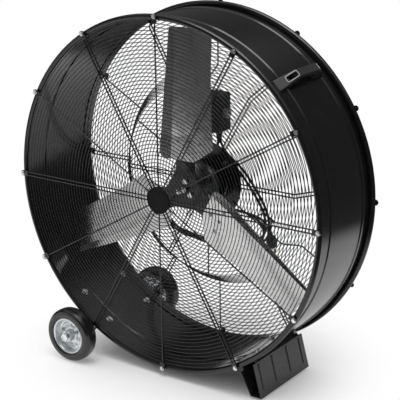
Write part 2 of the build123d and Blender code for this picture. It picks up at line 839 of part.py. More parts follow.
def spider_planform():
    """Three-armed plate with hollow sides: x across the first arm, y outwards."""
    half_step = math.radians(blade_step / 2)
    arm = make_face(Polyline((0, 0), (-arm_neck_half, arm_neck_s), (arm_end_from_c, blade_bolt_inner_s),
                             (arm_end_from_c, arm_end_s), (arm_end_to_c, arm_end_s),
                             (arm_end_to_c, blade_bolt_inner_s), (arm_neck_half + 4, arm_neck_s), close=True))
    for c in (arm_end_from_c, arm_end_to_c):
        arm = fillet(arm.vertices().sort_by_distance((c, arm_end_s, 0))[0], arm_end_corner_r)
    plate = Sketch() + [Rot(0, 0, -k * blade_step) * arm for k in range(blade_count)]
    side = []
    for sign in (-1, 1):
        neck = Vector(sign * arm_neck_half, arm_neck_s)
        side.append(neck)
    middle = Vector(spider_waist_r * math.sin(half_step), spider_waist_r * math.cos(half_step))
    other = Vector(-arm_neck_half, arm_neck_s).rotate(Axis.Z, -blade_step)
    web = make_face([*ThreePointArc(side[1], middle, other).edges(), *Polyline(other, (0, 0), side[1]).edges()])
    return plate + [Rot(0, 0, -k * blade_step) * web for k in range(blade_count)]


def arm_section(s, pitch):
    """Wide strip across an arm, pitched about its own length."""
    half = 90.0
    middle_y = spider_front_y
    outline = [(-half, middle_y - half * tangent(pitch)), (half, middle_y + half * tangent(pitch)),
               (half, middle_y + half * tangent(pitch) + spider_wall),
               (-half, middle_y - half * tangent(pitch) + spider_wall)]
    plane = Plane(origin=(0, 0, s), x_dir=(1, 0, 0), z_dir=(0, 0, 1))
    return plane * make_face(Polyline(*outline, close=True))


def blade_spider():
    """Pressed plate that carries the blades, with each arm twisted to the blades' pitch."""
    looking = Plane(origin=(0, 0, 0), x_dir=(1, 0, 0), z_dir=(0, -1, 0))
    planform = extrude(looking * spider_planform(), 200)
    half_step = tangent(blade_step / 2)
    wedge = make_face(Polyline((0, 0), (-2 * arm_end_s * half_step, 2 * arm_end_s),
                               (2 * arm_end_s * half_step, 2 * arm_end_s), close=True))
    twisted = loft([arm_section(0, 0), arm_section(spider_waist_r, 0), arm_section(arm_twist_end_s, blade_root_angle),
                    arm_section(arm_end_s + 5, blade_root_angle)], ruled=True)
    arm = twisted & planform & extrude(looking * wedge, 200)
    for c, s in blade_bolt_spots():
        arm -= rod(blade_bolt_plane(c, s), blade_bolt_r + hole_gap, -20, 20)
    plate = Part() + [turn(k * blade_step, arm) for k in range(blade_count)]
    for k in range(blade_count):
        plate -= turn(hub_bolt_angle + k * blade_step, rod(hub_bolt_plane(), hub_bolt_r + hole_gap, -20, 20))
    return plate - disc(shaft_r + hole_gap, spider_front_y - 5, spider_back_y + 5)


def hub_bolt_plane():
    """Seat of a hub bolt's head on the front of the spider, at the top."""
    return Plane(origin=(0, spider_front_y, hub_bolt_circle_r), x_dir=(1, 0, 0), z_dir=(0, -1, 0))


def hub():
    """Cast hub: a flange behind the spider and a boss on the shaft."""
    flange_back = spider_back_y + hub_flange_t
    boss_back = flange_back + hub_boss_length
    body = lathe((shaft_r + seat_gap, spider_back_y), (hub_flange_r, spider_back_y), (hub_flange_r, flange_back),
                 (hub_boss_r + 3, flange_back), (hub_boss_r, flange_back + 3), (hub_boss_r, boss_back),
                 (shaft_r + seat_gap, boss_back))
    for k in range(blade_count):
        body -= turn(hub_bolt_angle + k * blade_step, rod(hub_bolt_plane(), hub_bolt_r + seat_gap, -20, 20))
    return body - rod(radial_plane(0, shaft_r, boss_back - 12), set_screw_r + slip_gap, -1, 30)


def set_screw():
    """Grub screw that locks the hub on the shaft."""
    plane = radial_plane(0, shaft_r + slip_gap, spider_back_y + hub_flange_t + hub_boss_length - 12)
    return rod(plane, set_screw_r, 0, 11) - hexagon(plane, 1.7, 7, 12)


def blade_bolts():
    bolts = []
    grip = blade_wall + spider_wall + 2 * seat_gap
    for k in range(blade_count):
        for c, s in blade_bolt_spots():
            one = bolt(blade_bolt_plane(c, s), blade_bolt_r, 5.8, 4.0, 7.0, 1.2, grip, 5.0, 1.0)
            bolts.append(turn(k * blade_step, one))
    return Compound(children=bolts)


def hub_bolts():
    """Bolts that screw into the hub's tapped flange."""
    one = bolt(hub_bolt_plane(), hub_bolt_r, 7.2, 5.3, 7.9, 1.4, spider_wall, tail=hub_flange_t)
    return Compound(children=[turn(hub_bolt_angle + k * blade_step, one) for k in range(blade_count)])


# ---------------------------------------------------------------- wheels
def at_axle(shape, y=0.0):
    """Move a piece drawn about the drum's axis to the axle."""
    return Pos(axle_x, y, axle_z) * shape


def tyre():
    face = Pos((tyre_bead_r + tyre_r) / 2, 0) * Rectangle(tyre_r - tyre_bead_r, 2 * tyre_half)
    face = fillet(face.vertices().group_by(Axis.X)[-1], tyre_shoulder_r)
    face = chamfer(face.vertices().group_by(Axis.X)[0], tyre_bead_bevel)
    return revolve(face, Axis.Y)


def rim():
    """Pressed wheel: rolled rim, web with three holes, and hub sleeve."""
    bore = axle_r + slip_gap + bush_wall + seat_gap
    seat = tyre_bead_r - seat_gap
    inner = seat - rim_wall
    half_web = rim_web_t / 2
    body = lathe((bore, -rim_hub_half), (rim_hub_r, -rim_hub_half), (rim_hub_r, -half_web), (inner, -half_web),
                 (inner, -rim_half), (seat, -rim_half), (seat, rim_half), (inner, rim_half), (inner, half_web),
                 (rim_hub_r, half_web), (rim_hub_r, rim_hub_half), (bore, rim_hub_half))
    for k in range(3):
        body -= turn(60 + 120 * k, Pos(0, 0, rim_hole_circle_r) * Rot(90, 0, 0) * Cylinder(rim_hole_r, 20))
    return body


def wheel_bush():
    return tube(axle_r + slip_gap + bush_wall, axle_r + slip_gap, -rim_hub_half, rim_hub_half)


def axle():
    end = wheel_outer_y + run_gap + axle_washer_t + axle_nut_t - 1
    return at_axle(disc(axle_r, -end, end))


def axle_spacers():
    """Tubes between the brackets and the wheels' hubs."""
    pieces = []
    for side in (-1, 1):
        near = side * (bracket_plate_y + bracket_wall / 2)
        far = side * (wheel_inner_y - run_gap)
        pieces.append(at_axle(tube(spacer_r, axle_r + seat_gap, min(near, far), max(near, far))))
    return Compound(children=pieces)


def axle_washers():
    pieces = []
    for side in (-1, 1):
        near = side * (wheel_outer_y + run_gap)
        far = near + side * axle_washer_t
        pieces.append(at_axle(tube(axle_washer_r, axle_r + seat_gap, min(near, far), max(near, far))))
    return Compound(children=pieces)


def axle_nuts():
    pieces = []
    for side in (-1, 1):
        seat = Plane(origin=(axle_x, side * (wheel_outer_y + run_gap + axle_washer_t), axle_z),
                     x_dir=(1, 0, 0), z_dir=(0, side, 0))
        nut = hexagon(seat, axle_nut_r, 0, axle_nut_t) - rod(seat, axle_r + seat_gap, -1, axle_nut_t + 1)
        pieces.append(nut)
    return Compound(children=pieces)


def axle_bracket(bolt_y):
    """Flange bolted to the drum and a plate with the axle's eye."""
    side = math.copysign(1, bolt_y)
    from_angle = min(bracket_bolt_angles) - bracket_edge_angle
    to_angle = max(bracket_bolt_angles) + bracket_edge_angle
    plate_edge = side * (bracket_plate_y + bracket_wall / 2)
    flange_edge = bolt_y - side * bracket_flange_margin
    flange = drum_flange(bracket_wall, min(plate_edge, flange_edge), max(plate_edge, flange_edge),
                         from_angle, to_angle)
    flange = wall_holes(flange, bracket_bolt_angles, (bolt_y,))
    eye = Vector(axle_x, axle_z)
    away = eye.normalized()
    across = Vector(away.Y, -away.X) * bracket_eye_r
    root_r = shell_inner_r
    outline = Polyline(drum_point(from_angle, root_r), eye - across, eye + across,
                       drum_point(to_angle, root_r), close=True)
    looking = Plane(origin=(0, side * bracket_plate_y, 0), x_dir=(1, 0, 0), z_dir=(0, -1, 0))
    plate = make_face(outline) + Pos(axle_x, axle_z) * Circle(bracket_eye_r)
    web = extrude(looking * plate, bracket_wall / 2, both=True) - drum_body()
    return flange + web - at_axle(disc(axle_r + seat_gap, -bead_plane, bead_plane))


def frame_bolts():
    """Eight bolts through the drum: four for the axle brackets, four for the foot."""
    bolts = []
    for y in frame_bolt_ys:
        for angle in bracket_bolt_angles:
            bolts.append(drum_bolt(angle, y, shell_wall + bracket_wall))
        for angle in foot_bolt_angles:
            bolts.append(drum_bolt(angle, y, shell_wall + foot_wall))
    return Compound(children=bolts)


# ---------------------------------------------------------------- foot
def drum_point(angle, radius):
    """Point (x, z) at an angle round the drum."""
    a = math.radians(angle)
    return (radius * math.sin(a), radius * math.cos(a))


def foot_point(corner, lift=0.0):
    """Corner of the foot, given as distance from its middle and height above the floor, as (x, z)."""
    return (foot_x + corner[0], corner[1] + lift - axis_height)


def foot_bracket():
    """One folded sheet: two flanges on the drum, two walls, and the floor between them."""
    middle = shell_outer_r + seat_gap + foot_wall / 2
    lift = foot_wall / 2
    path = [drum_point(foot_outer_root_angle, middle), foot_point(foot_outer_top),
            foot_point(foot_outer_bottom, lift), foot_point(foot_inner_bottom, lift),
            foot_point(foot_inner_top), drum_point(foot_inner_root_angle, middle)]
    looking = Plane(origin=(0, 0, 0), x_dir=(1, 0, 0), z_dir=(0, -1, 0))
    sheet = extrude(looking * make_face(strip(path, foot_wall)), foot_half, both=True)
    for side in (-1, 1):
        reach = foot_half - foot_upper_half
        for top in (foot_point(foot_outer_top), foot_point(foot_inner_top)):
            notch = Pos(top[0], side * (foot_upper_half + reach / 2), top[1] + 40) * Box(60, reach, 80)
            sheet -= notch
    sheet -= drum_body()
    for near, far in ((foot_outer_root_angle - foot_flange_reach, foot_outer_root_angle + foot_fold_angle),
                      (foot_inner_root_angle - foot_fold_angle, foot_inner_root_angle + foot_flange_reach)):
        sheet += drum_flange(foot_wall, -foot_upper_half, foot_upper_half, near, far)
    sheet += foot_ribs()
    sheet = wall_holes(sheet, foot_bolt_angles, frame_bolt_ys)
    for side in (-1, 1):
        plane = Plane(origin=(foot_x, side * pad_y, pad_top_z))
        sheet -= rod(plane, pad_stem_r + seat_gap, -5, 10)
    return sheet


def foot_ribs():
    """Raised ribs pressed into the foot's outer wall."""
    top = Vector(*foot_point(foot_outer_top))
    run = (Vector(*foot_point(foot_outer_bottom)) - top).normalized()
    face = Vector(-run.Y, run.X) * (foot_wall / 2)
    ribs = Part()
    for y in foot_rib_y:
        ends = []
        for height in (foot_rib_top, foot_rib_bottom):
            point = top + run * ((height - axis_height - top.Y) / run.Y) + face
            ends.append(Vector(point.X, y, point.Y))
        path = Wire(Line(*ends).edges())
        ribs += wire(path, foot_rib_r)
        for end in ends:
            ribs += Pos(*end) * Sphere(foot_rib_r)
    return ribs


def foot_pads():
    """Rubber pads under the foot, held by a stem and button through its floor."""
    pads = []
    for side in (-1, 1):
        plane = Plane(origin=(foot_x, side * pad_y, pad_top_z))
        pad = rod(plane, pad_r, -axis_height - pad_top_z, 0)
        pad += rod(plane, pad_stem_r, 0, foot_wall + seat_gap)
        pad += rod(plane, pad_button_r, foot_wall + seat_gap, foot_wall + pad_button_t)
        pads.append(pad)
    return Compound(children=pads)


# ---------------------------------------------------------------- handle
def handle_side_profile():
    """Side view of the handle: x is the drum's y, y is the radius."""
    low = shell_inner_r
    outer = [(-handle_foot_half, shell_outer_r + 0.5), (-handle_top_half, handle_top_r),
             (handle_top_half, handle_top_r), (handle_foot_half, shell_outer_r + 0.5),
             (handle_foot_half, low), (-handle_foot_half, low)]
    face = rounded(outer, (0, 6, 6, 0, 0, 0))
    ceiling = handle_top_r - handle_grip_t
    gap = rounded([(-handle_gap_foot_half, low - 1), (-handle_gap_half, ceiling), (handle_gap_half, ceiling),
                   (handle_gap_foot_half, low - 1)], (0, 8, 8, 0))
    return face - gap


def carry_handle():
    """Moulded handle, wider at its feet, with a screw pocket in each slope."""
    side_plane = Plane(origin=(0, 0, 0), x_dir=(0, 1, 0), z_dir=(1, 0, 0))
    body = extrude(side_plane * handle_side_profile(), handle_foot_width, both=True)
    grip = handle_width / 2
    foot = handle_foot_width / 2
    plan = [(-grip, handle_flare_from), (-foot, handle_foot_half), (foot, handle_foot_half),
            (grip, handle_flare_from), (grip, -handle_flare_from), (foot, -handle_foot_half),
            (-foot, -handle_foot_half), (-grip, -handle_flare_from)]
    above = Plane(origin=(0, 0, 0))
    body &= extrude(above * make_face(Polyline(*plan, close=True)), handle_top_r + 50)
    edges = body.edges().filter_by(lambda e: e.center().Z > handle_top_r - handle_grip_t / 2
                                   and abs(e.center().X) > grip - 1)
    body = fillet(edges, handle_edge_r)
    for side in (-1, 1):
        middle = side * (pocket_from_y + pocket_to_y) / 2
        length = pocket_to_y - pocket_from_y
        body -= Pos(0, middle, pocket_floor_r + 25) * Box(pocket_width, length, 50)
        body -= Pos(0, side * handle_screw_y, pocket_floor_r) * Cylinder(frame_bolt_r + hole_gap, 60)
    return turn(handle_angle, body - drum_body())


def handle_screws():
    """Screws down through the pockets, with a washer and nut inside the drum."""
    screws = []
    sagitta = shell_inner_r - math.sqrt(shell_inner_r ** 2 - frame_washer_r ** 2)
    nut_face = shell_inner_r - sagitta - seat_gap
    for side in (-1, 1):
        plane = radial_plane(handle_angle, pocket_floor_r + seat_gap, side * handle_screw_y)
        grip = pocket_floor_r + seat_gap - nut_face
        screw = rod(plane, frame_bolt_r, -grip - frame_nut_t - 3, 0) + rod(plane, 6.5, 0, 4.5)
        screw -= plane * Pos(0, 0, 4.5) * Box(10, 1.4, 2.4)
        screw += rod(plane, frame_washer_r, -grip - frame_washer_t, -grip)
        screw += hexagon(plane, frame_bolt_head_r, -grip - frame_nut_t, -grip - frame_washer_t)
        screws.append(screw)
    return Compound(children=screws)


# ---------------------------------------------------------------- switch box
def box_block(width, height, from_y, to_y, corner):
    """Rounded block behind the guard, centred on the switch box."""
    looking = Plane(origin=(box_centre_x, from_y, box_centre_z), x_dir=(-1, 0, 0), z_dir=(0, 1, 0))
    return extrude(looking * RectangleRounded(width, height, corner), to_y - from_y)


def box_screw_planes():
    """Seats of the lid's four screws."""
    planes = []
    for sx in (-1, 1):
        for sz in (-1, 1):
            x = box_centre_x + sx * (box_width / 2 - box_screw_inset)
            z = box_centre_z + sz * (box_height / 2 - box_screw_inset)
            planes.append(Plane(origin=(x, box_back_y, z), x_dir=(1, 0, 0), z_dir=(0, 1, 0)))
    return planes


def switch_box():
    """Moulded box, open at the back, with four screw pillars."""
    open_y = box_back_y - lid_wall
    body = box_block(box_width, box_height, box_front_y, open_y, box_corner_r)
    body -= box_block(box_width - 2 * box_wall, box_height - 2 * box_wall, box_front_y + box_wall,
                      open_y + 5, box_corner_r - box_wall)
    for plane in box_screw_planes():
        body += rod(plane, box_screw_r + 3.2, box_front_y + box_wall - box_back_y, -lid_wall)
    for plane in box_screw_planes():
        body -= rod(plane, box_screw_r + slip_gap, -30, 5)
    knob_plane = Plane(origin=(box_right_x, knob_y, knob_z), x_dir=(0, 0, 1), z_dir=(1, 0, 0))
    body -= rod(knob_plane, knob_stem_r + hole_gap, -10, 10)
    for x, y in ((lead_exit_x, lead_y), (0, motor_cable_y)):
        body -= rod(Plane(origin=(x, y, box_bottom_z)), gland_r / 2 + slip_gap, -10, 10)
    for z in clamp_heights():
        plane = Plane(origin=(0, box_front_y, z), x_dir=(1, 0, 0), z_dir=(0, -1, 0))
        body -= rod(plane, clamp_screw_r + slip_gap, -20, 5) if abs(z - box_centre_z) < box_height / 2 else Part()
    return body


def switch_lid():
    lid = box_block(box_width, box_height, box_back_y - lid_wall, box_back_y, box_corner_r)
    for plane in box_screw_planes():
        lid -= rod(plane, box_screw_r + hole_gap, -10, 10)
    return fillet(lid.edges().group_by(Axis.Y)[-1], 1.0)


def box_screws():
    screws = []
    for plane in box_screw_planes():
        screw = rod(plane, box_screw_r, -20, 0) + rod(plane, 3.8, 0, 2.2)
        screw -= plane * Pos(0, 0, 2.2) * Box(5, 0.9, 1.2)
        screws.append(screw)
    return Compound(children=screws)


def speed_switch():
    """Rotary switch on the inside of the box's right wall."""
    width, depth, height = switch_body
    face_x = box_right_x - box_wall
    body = Pos(face_x - width / 2, knob_y, knob_z) * Box(width, depth, height)
    plane = Plane(origin=(face_x, knob_y, knob_z), x_dir=(0, 0, 1), z_dir=(1, 0, 0))
    return body - rod(plane, knob_stem_r + slip_gap, -width / 2, 1)


def switch_knob():
    """Round knob with a pointer ridge, on a stem into the switch."""
    plane = Plane(origin=(box_right_x, knob_y, knob_z), x_dir=(0, 0, 1), z_dir=(1, 0, 0))
    knob = rod(plane, knob_r, run_gap, knob_depth)
    knob = chamfer(knob.edges().group_by(Axis.X)[-1], 1.5)
    knob += rod(plane, knob_stem_r, -box_wall - switch_body[0] / 2 + 1, run_gap + 1)
    ridge = plane * Pos(knob_r / 2, 0, knob_depth + knob_ridge / 2) * Box(knob_r - 2, 3, knob_ridge)
    return knob + ridge


def run_capacitor():
    """Motor capacitor, strapped inside the box beside the switch."""
    x = box_centre_x - box_width / 2 + box_wall + capacitor_r + seat_gap
    y = box_front_y + box_wall + capacitor_r + seat_gap
    z = box_centre_z
    body = Pos(x, y, z) * Cylinder(capacitor_r, capacitor_length)
    top = z + capacitor_length / 2
    for side in (-1, 1):
        body += Pos(x + side * 4, y, top + 3) * Box(1, 6, 6)
    return body


def clamp_heights():
    """Heights of the two spoke clamps, each in a gap between guard rings at the top."""
    low = box_bottom_z - box_bracket_overlap / 2
    high = box_centre_z + box_height / 2 + box_bracket_overlap / 2
    rows = []
    for z in (low, high):
        rows.append(rear_inner_ring_r + round((z - rear_inner_ring_r) / ring_pitch) * ring_pitch)
    return rows


def switch_bracket():
    """Strap between the spoke and the box, a little longer than the box."""
    low = box_bottom_z - box_bracket_overlap
    high = box_centre_z + box_height / 2 + box_bracket_overlap
    strap = Pos(0, mount_face_y + box_bracket_wall / 2, (low + high) / 2) * Box(
        box_bracket_width, box_bracket_wall, high - low)
    for plane in clamp_planes():
        strap -= rod(plane, clamp_screw_r + slip_gap, -20, 20)
    return strap


def clamp_planes():
    """Seats of the clamp screws' heads, on the clamps' front faces."""
    y = mount_face_y - clamp_wall
    return [Plane(origin=(side * clamp_screw_offset, y, z), x_dir=(1, 0, 0), z_dir=(0, -1, 0))
            for side in (-1, 1) for z in clamp_heights()]


def switch_clamps():
    """Saddles over the top spoke that hold the strap to the guard, with their screws."""
    crown = mount_face_y - 2 * spoke_r - slip_gap
    half_crown = spoke_r + slip_gap
    profile = [(-clamp_length / 2, 0), (-half_crown, 0), (-half_crown, crown - mount_face_y),
               (half_crown, crown - mount_face_y), (half_crown, 0), (clamp_length / 2, 0),
               (clamp_length / 2, -clamp_wall), (half_crown + clamp_wall, -clamp_wall),
               (half_crown + clamp_wall, crown - mount_face_y - clamp_wall),
               (-half_crown - clamp_wall, crown - mount_face_y - clamp_wall),
               (-half_crown - clamp_wall, -clamp_wall), (-clamp_length / 2, -clamp_wall)]
    saddles = []
    for z in clamp_heights():
        plane = Plane(origin=(0, mount_face_y, z - clamp_height / 2), x_dir=(1, 0, 0), z_dir=(0, 0, 1))
        saddle = extrude(plane * make_face(Polyline(*profile, close=True)), clamp_height)
        for hole in clamp_planes():
            saddle -= rod(hole, clamp_screw_r + slip_gap, -20, 20)
        saddles.append(saddle)
    screws = [rod(plane, clamp_screw_r, -clamp_wall - box_bracket_wall - 3, 0)
              + rod(plane, clamp_height / 2, 0, 1.8) for plane in clamp_planes()]
    return Compound(children=saddles + screws)


# ---------------------------------------------------------------- cables
def motor_cable():
    """Short cable from the switch box down to the motor, with a gland at each end."""
    top = box_bottom_z - gland_t
    bottom = motor_r + gland_t
    middle = (top + bottom) / 2
    y = motor_cable_y
    points = [(0, y, top), (0, y, top - 10), (0, y + motor_cable_bow, middle), (0, y, bottom + 10), (0, y, bottom)]
    path = FilletPolyline(*points, radius=14)
    cable = wire(Wire(path.edges()), motor_cable_r)
    upper = Plane(origin=(0, y, box_bottom_z))
    top = hexagon(upper, gland_r, -gland_t, 0) + rod(upper, gland_r / 2, 0, box_wall + 2)
    lower = Plane(origin=(0, y, motor_r))
    bottom = hexagon(lower, gland_r, -2, gland_t)
    bottom -= disc(motor_r + seat_gap, motor_front_y, motor_rear_y)
    return cable + top + bottom


def lead_relief():
    """Tapered rubber boot where the mains lead leaves the box."""
    plane = Plane(origin=(lead_exit_x, lead_y, box_bottom_z))
    boot = Pos(lead_exit_x, lead_y, box_bottom_z - relief_length) * Cone(
        lead_r + 0.9, 6.5, relief_length, align=(Align.CENTER, Align.CENTER, Align.MIN))
    boot += rod(plane, relief_collar_r, -relief_collar_t, 0)
    return boot + rod(plane, gland_r / 2, 0, box_wall + 2)


def coil_radius(angle, turn_number):
    """Distance of a hung turn of the lead from the motor's axis, by angle from the top."""
    fall = ((1 - math.cos(math.radians(angle))) / 2) ** (1.5 + 0.35 * turn_number)
    right = math.exp(-((angle - coil_right_angle) / coil_lobe_spread) ** 2)
    left = math.exp(-((angle - coil_left_angle) / coil_lobe_spread) ** 2)
    radius = coil_top_r + coil_turn_gap * (1 - turn_number) + coil_drop * fall
    return radius + coil_right_lobe * right + coil_left_lobe * left


def hung_turn_outline(turn_number, extra):
    """Outline of one hung turn, moved out or in by extra."""
    points = []
    for k in range(coil_steps):
        angle = k * 360 / coil_steps
        radius = coil_radius(angle, turn_number) + extra
        a = math.radians(angle)
        points.append((radius * math.sin(a), radius * math.cos(a)))
    return make_face(Polyline(*points, close=True))


def low_loop_point(angle, extra):
    """Point of the loop that lies under the motor, angle 0 at its top."""
    a = math.radians(angle)
    x = (low_loop_half + extra) * math.sin(a)
    rise = (low_loop_rise + extra) * math.cos(a) * (1 + low_loop_swell * math.sin(a) ** 2)
    return (x, low_loop_z + rise)


def low_loop_outline(extra):
    return make_face(Polyline(*[low_loop_point(k * 360 / coil_steps, extra) for k in range(coil_steps)],
                              close=True))


def lead_coil():
    """Outer shape of the lead's turns, hung over the motor and looped under it."""
    margin = lead_r + 0.3
    hung = hung_turn_outline(0, margin) - hung_turn_outline(1, -margin)
    hung += hung_turn_outline(1, margin) - hung_turn_outline(1, -margin)
    low = low_loop_outline(margin) - low_loop_outline(-margin)
    looking = Plane(origin=(0, lead_y, 0), x_dir=(1, 0, 0), z_dir=(0, -1, 0))
    return extrude(looking * (hung + low), coil_half_depth, both=True)


def cord_radii(points):
    """Largest radius that each corner of a cord's route allows."""
    radii = []
    for before, here, after in zip(points, points[1:], points[2:]):
        first = Vector(*here) - Vector(*before)
        second = Vector(*after) - Vector(*here)
        half_turn = first.get_angle(second) / 2
        radii.append(0.45 * min(first.length, second.length) / tangent(half_turn))
    return radii


def mains_lead(coil):
    """The lead's free ends: from the box to the coil, and from the coil to the plug."""
    top = Plane(origin=(lead_exit_x, lead_y, box_bottom_z - relief_length))
    start = rod(top, lead_r, -60, 0) - coil
    start = start.solids().sort_by(Axis.Z)[-1]
    radii = cord_radii(tail_route)
    print("mains lead corner radii:", [round(r, 1) for r in radii])
    path = FilletPolyline(*tail_route, radius=radii)
    tail = wire(Wire(path.edges()), lead_r)
    print("mains lead tail volume", round(tail.volume, 1), "section x length",
          round(math.pi * lead_r ** 2 * path.length, 1))
    tail = (tail - coil).solids().sort_by(Axis.Z)[0]
    return start, tail


def plug_plane():
    """Where the lead enters the plug, facing up along the lead."""
    end, before = Vector(*tail_route[-1]), Vector(*tail_route[-2])
    return Plane(origin=end, x_dir=(1, 0, 0), z_dir=(before - end).normalized())


def plug_body():
    plane = plug_plane()
    body = rod(plane, plug_neck_r, -plug_neck_length, 0)
    lower = plane * Pos(0, 0, -plug_neck_length - plug_length) * extrude(
        RectangleRounded(2 * plug_r, 1.6 * plug_r, 6), plug_length)
    body += fillet(lower.edges().filter_by(lambda e: e.length > 3), 2.0)
    return body


def plug_pins():
    plane = plug_plane() * Pos(0, 0, -plug_neck_length - plug_length)
    pins = []
    for side in (-1, 1):
        pins.append(plane * Pos(side * 6.3, -2, -plug_pin_length / 2) * Box(1.5, 6.4, plug_pin_length))
    pins.append(plane * Pos(0, 6, -plug_pin_length / 2) * Cylinder(2.4, plug_pin_length))
    return Compound(children=pins)


def lead_tie():
    """Strap round the hung turns and four guard rings, beside a spoke on the right."""
    inner = rear_inner_ring_r + (tie_inner_gap + 0.5) * ring_pitch - tie_wall / 2
    outer = rear_inner_ring_r + (tie_outer_gap + 0.5) * ring_pitch + tie_wall / 2
    front = rear_recess_ring_y - ring_wire_r - hole_gap - tie_wall
    back = coil_back_y + hole_gap + tie_wall
    looking = Plane(origin=(-tie_offset, (front + back) / 2, (inner + outer) / 2), x_dir=(0, 1, 0), z_dir=(1, 0, 0))
    strap = RectangleRounded(back - front, outer - inner, tie_corner_r)
    strap -= RectangleRounded(back - front - 2 * tie_wall, outer - inner - 2 * tie_wall, tie_corner_r - tie_wall)
    return turn(tie_spoke_angle, extrude(looking * strap, tie_width / 2, both=True))


# ---------------------------------------------------------------- write every node
def save_all():
    save("drum_shell", drum_shell())
    save("front_guard_rings", spiral(front_inner_ring_r, guard_outer_ring_r, front_ring_y))
    save("front_guard_spokes", front_spokes())
    save("front_centre_disc", centre_disc())
    save("rear_guard_outer_rings", spiral(rear_outer_inner_ring_r, rear_outer_ring_r, rear_flat_ring_y))
    save("rear_guard_inner_rings", spiral(rear_inner_ring_r, rear_inner_outer_ring_r, rear_recess_ring_y))
    save("rear_guard_cone_rings", cone_rings())
    save("rear_guard_spokes", rear_spokes())
    save("guard_clips", round_both_guards(guard_clip))
    save("guard_screws", round_both_guards(guard_screw))

    save("motor_mount_ring", motor_mount_ring())
    save("motor_mount_bolts", motor_mount_bolts())
    save("motor_housing", motor_housing())
    save("motor_front_bell", end_bell(True))
    save("motor_rear_bell", end_bell(False))
    save("motor_tie_rods", tie_rods())
    save("motor_bearings", Compound(children=[bearing(True), bearing(False)]))
    save("stator_core", stator_core())
    save("stator_windings", stator_windings())
    save("motor_rotor", motor_rotor())
    save("motor_shaft", disc(shaft_r, shaft_front_y, shaft_rear_y))

    for k in range(blade_count):
        save(f"fan_blade_{k + 1}", blade(k))
    save("blade_spider", blade_spider())
    save("blade_bolts", blade_bolts())
    save("fan_hub", hub())
    save("hub_bolts", hub_bolts())
    save("hub_set_screw", set_screw())

    for name, side in (("front", -1), ("rear", 1)):
        save(f"{name}_tyre", at_axle(tyre(), side * wheel_y))
        save(f"{name}_rim", at_axle(rim(), side * wheel_y))
        save(f"{name}_wheel_bush", at_axle(wheel_bush(), side * wheel_y))
    save("axle", axle())
    save("axle_spacers", axle_spacers())
    save("axle_washers", axle_washers())
    save("axle_nuts", axle_nuts())
    save("axle_brackets", Compound(children=[axle_bracket(y) for y in frame_bolt_ys]))
    save("frame_bolts", frame_bolts())

    save("foot_bracket", foot_bracket())
    save("foot_pads", foot_pads())
    save("carry_handle", carry_handle())
    save("handle_screws", handle_screws())

    save("switch_box", switch_box())
    save("switch_box_lid", switch_lid())
    save("switch_box_screws", box_screws())
    save("speed_switch", speed_switch())
    save("switch_knob", switch_knob())
    save("run_capacitor", run_capacitor())
    save("switch_bracket", switch_bracket())
    save("switch_clamps", switch_clamps())
    save("motor_cable", motor_cable())

    coil = lead_coil()
    start, tail = mains_lead(coil)
    save("lead_strain_relief", lead_relief())
    save("mains_lead", Compound(children=[start, tail]))
    save("mains_lead_coil", coil)
    save("plug_body", plug_body())
    save("plug_pins", plug_pins())
    save("lead_tie", lead_tie())


save_all()
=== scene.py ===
# %% [markdown]
# # A wheeled drum fan, dressed for its portrait
# The CAD model already holds every solid piece of the fan in metres: the rolled drum, two wire
# guards, the blades on their motor, two wheels, a folded foot and a handle. This lesson loads it as
# a fixed frame, replaces what a CAD solid can't show well (round guard wires, the tyres and rims,
# the mains lead), gives every piece a finish made of shader nodes, and lights it in a white room.

# %% Load the fixed frame
import math

import bpy
import numpy as np
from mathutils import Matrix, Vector


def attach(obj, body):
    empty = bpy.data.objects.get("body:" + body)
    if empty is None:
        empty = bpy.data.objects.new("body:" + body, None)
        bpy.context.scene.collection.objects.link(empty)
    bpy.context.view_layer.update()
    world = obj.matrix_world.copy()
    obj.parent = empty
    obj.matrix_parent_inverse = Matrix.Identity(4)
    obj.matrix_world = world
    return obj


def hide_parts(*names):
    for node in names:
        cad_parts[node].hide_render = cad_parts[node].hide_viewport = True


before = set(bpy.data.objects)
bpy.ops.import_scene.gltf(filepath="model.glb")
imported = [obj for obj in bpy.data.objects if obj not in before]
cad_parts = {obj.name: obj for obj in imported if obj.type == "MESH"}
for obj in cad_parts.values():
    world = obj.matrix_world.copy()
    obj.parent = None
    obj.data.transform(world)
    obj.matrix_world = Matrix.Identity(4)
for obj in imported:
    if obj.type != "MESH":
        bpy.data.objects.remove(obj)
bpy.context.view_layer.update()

# %% [markdown]
# The fan stands on the floor at Z = 0 and blows towards -Y. Its axle height places everything, so
# it is the first number here. Sizes are in metres, and `mm` keeps the small ones readable.

# %% Shared sizes
mm = 0.001
hub_height = 526 * mm
hub_centre = np.array([0.0, 0.0, hub_height])


def around(radius, angle):
    """Point arrays x, z on circles about the fan's axis: x = r sin a, z = axle height + r cos a."""
    return radius * np.sin(angle), hub_height + radius * np.cos(angle)


# %% [markdown]
# ## Camera
# The photograph looks down on the front right of the fan from about 3.4 m with a long lens, which
# keeps the ellipse of the drum nearly free of perspective.

# %% Place the camera
camera_data = bpy.data.cameras.new("portrait_camera")
camera_data.lens = 109.18
camera_data.sensor_width = 36.0
camera_data.sensor_fit = "HORIZONTAL"
camera = bpy.data.objects.new("portrait_camera", camera_data)
bpy.context.scene.collection.objects.link(camera)
camera.location = (1.9268, -2.6358, 1.516)
aim = Vector((0.02995, 0.0, 0.49235)) - camera.location
camera.rotation_euler = aim.to_track_quat("-Z", "Y").to_euler()
camera.rotation_euler.rotate_axis("Z", math.radians(-0.798))
bpy.context.scene.camera = camera
print("camera aims along", [round(v, 3) for v in aim.normalized()])

# %% [markdown]
# ## Shader maths as Python expressions
# A material is a small program. Wrapping a socket in a class with the usual operators lets it be
# written as one: `rough = 0.2 + speckle * 0.1` adds two Math nodes and links them.


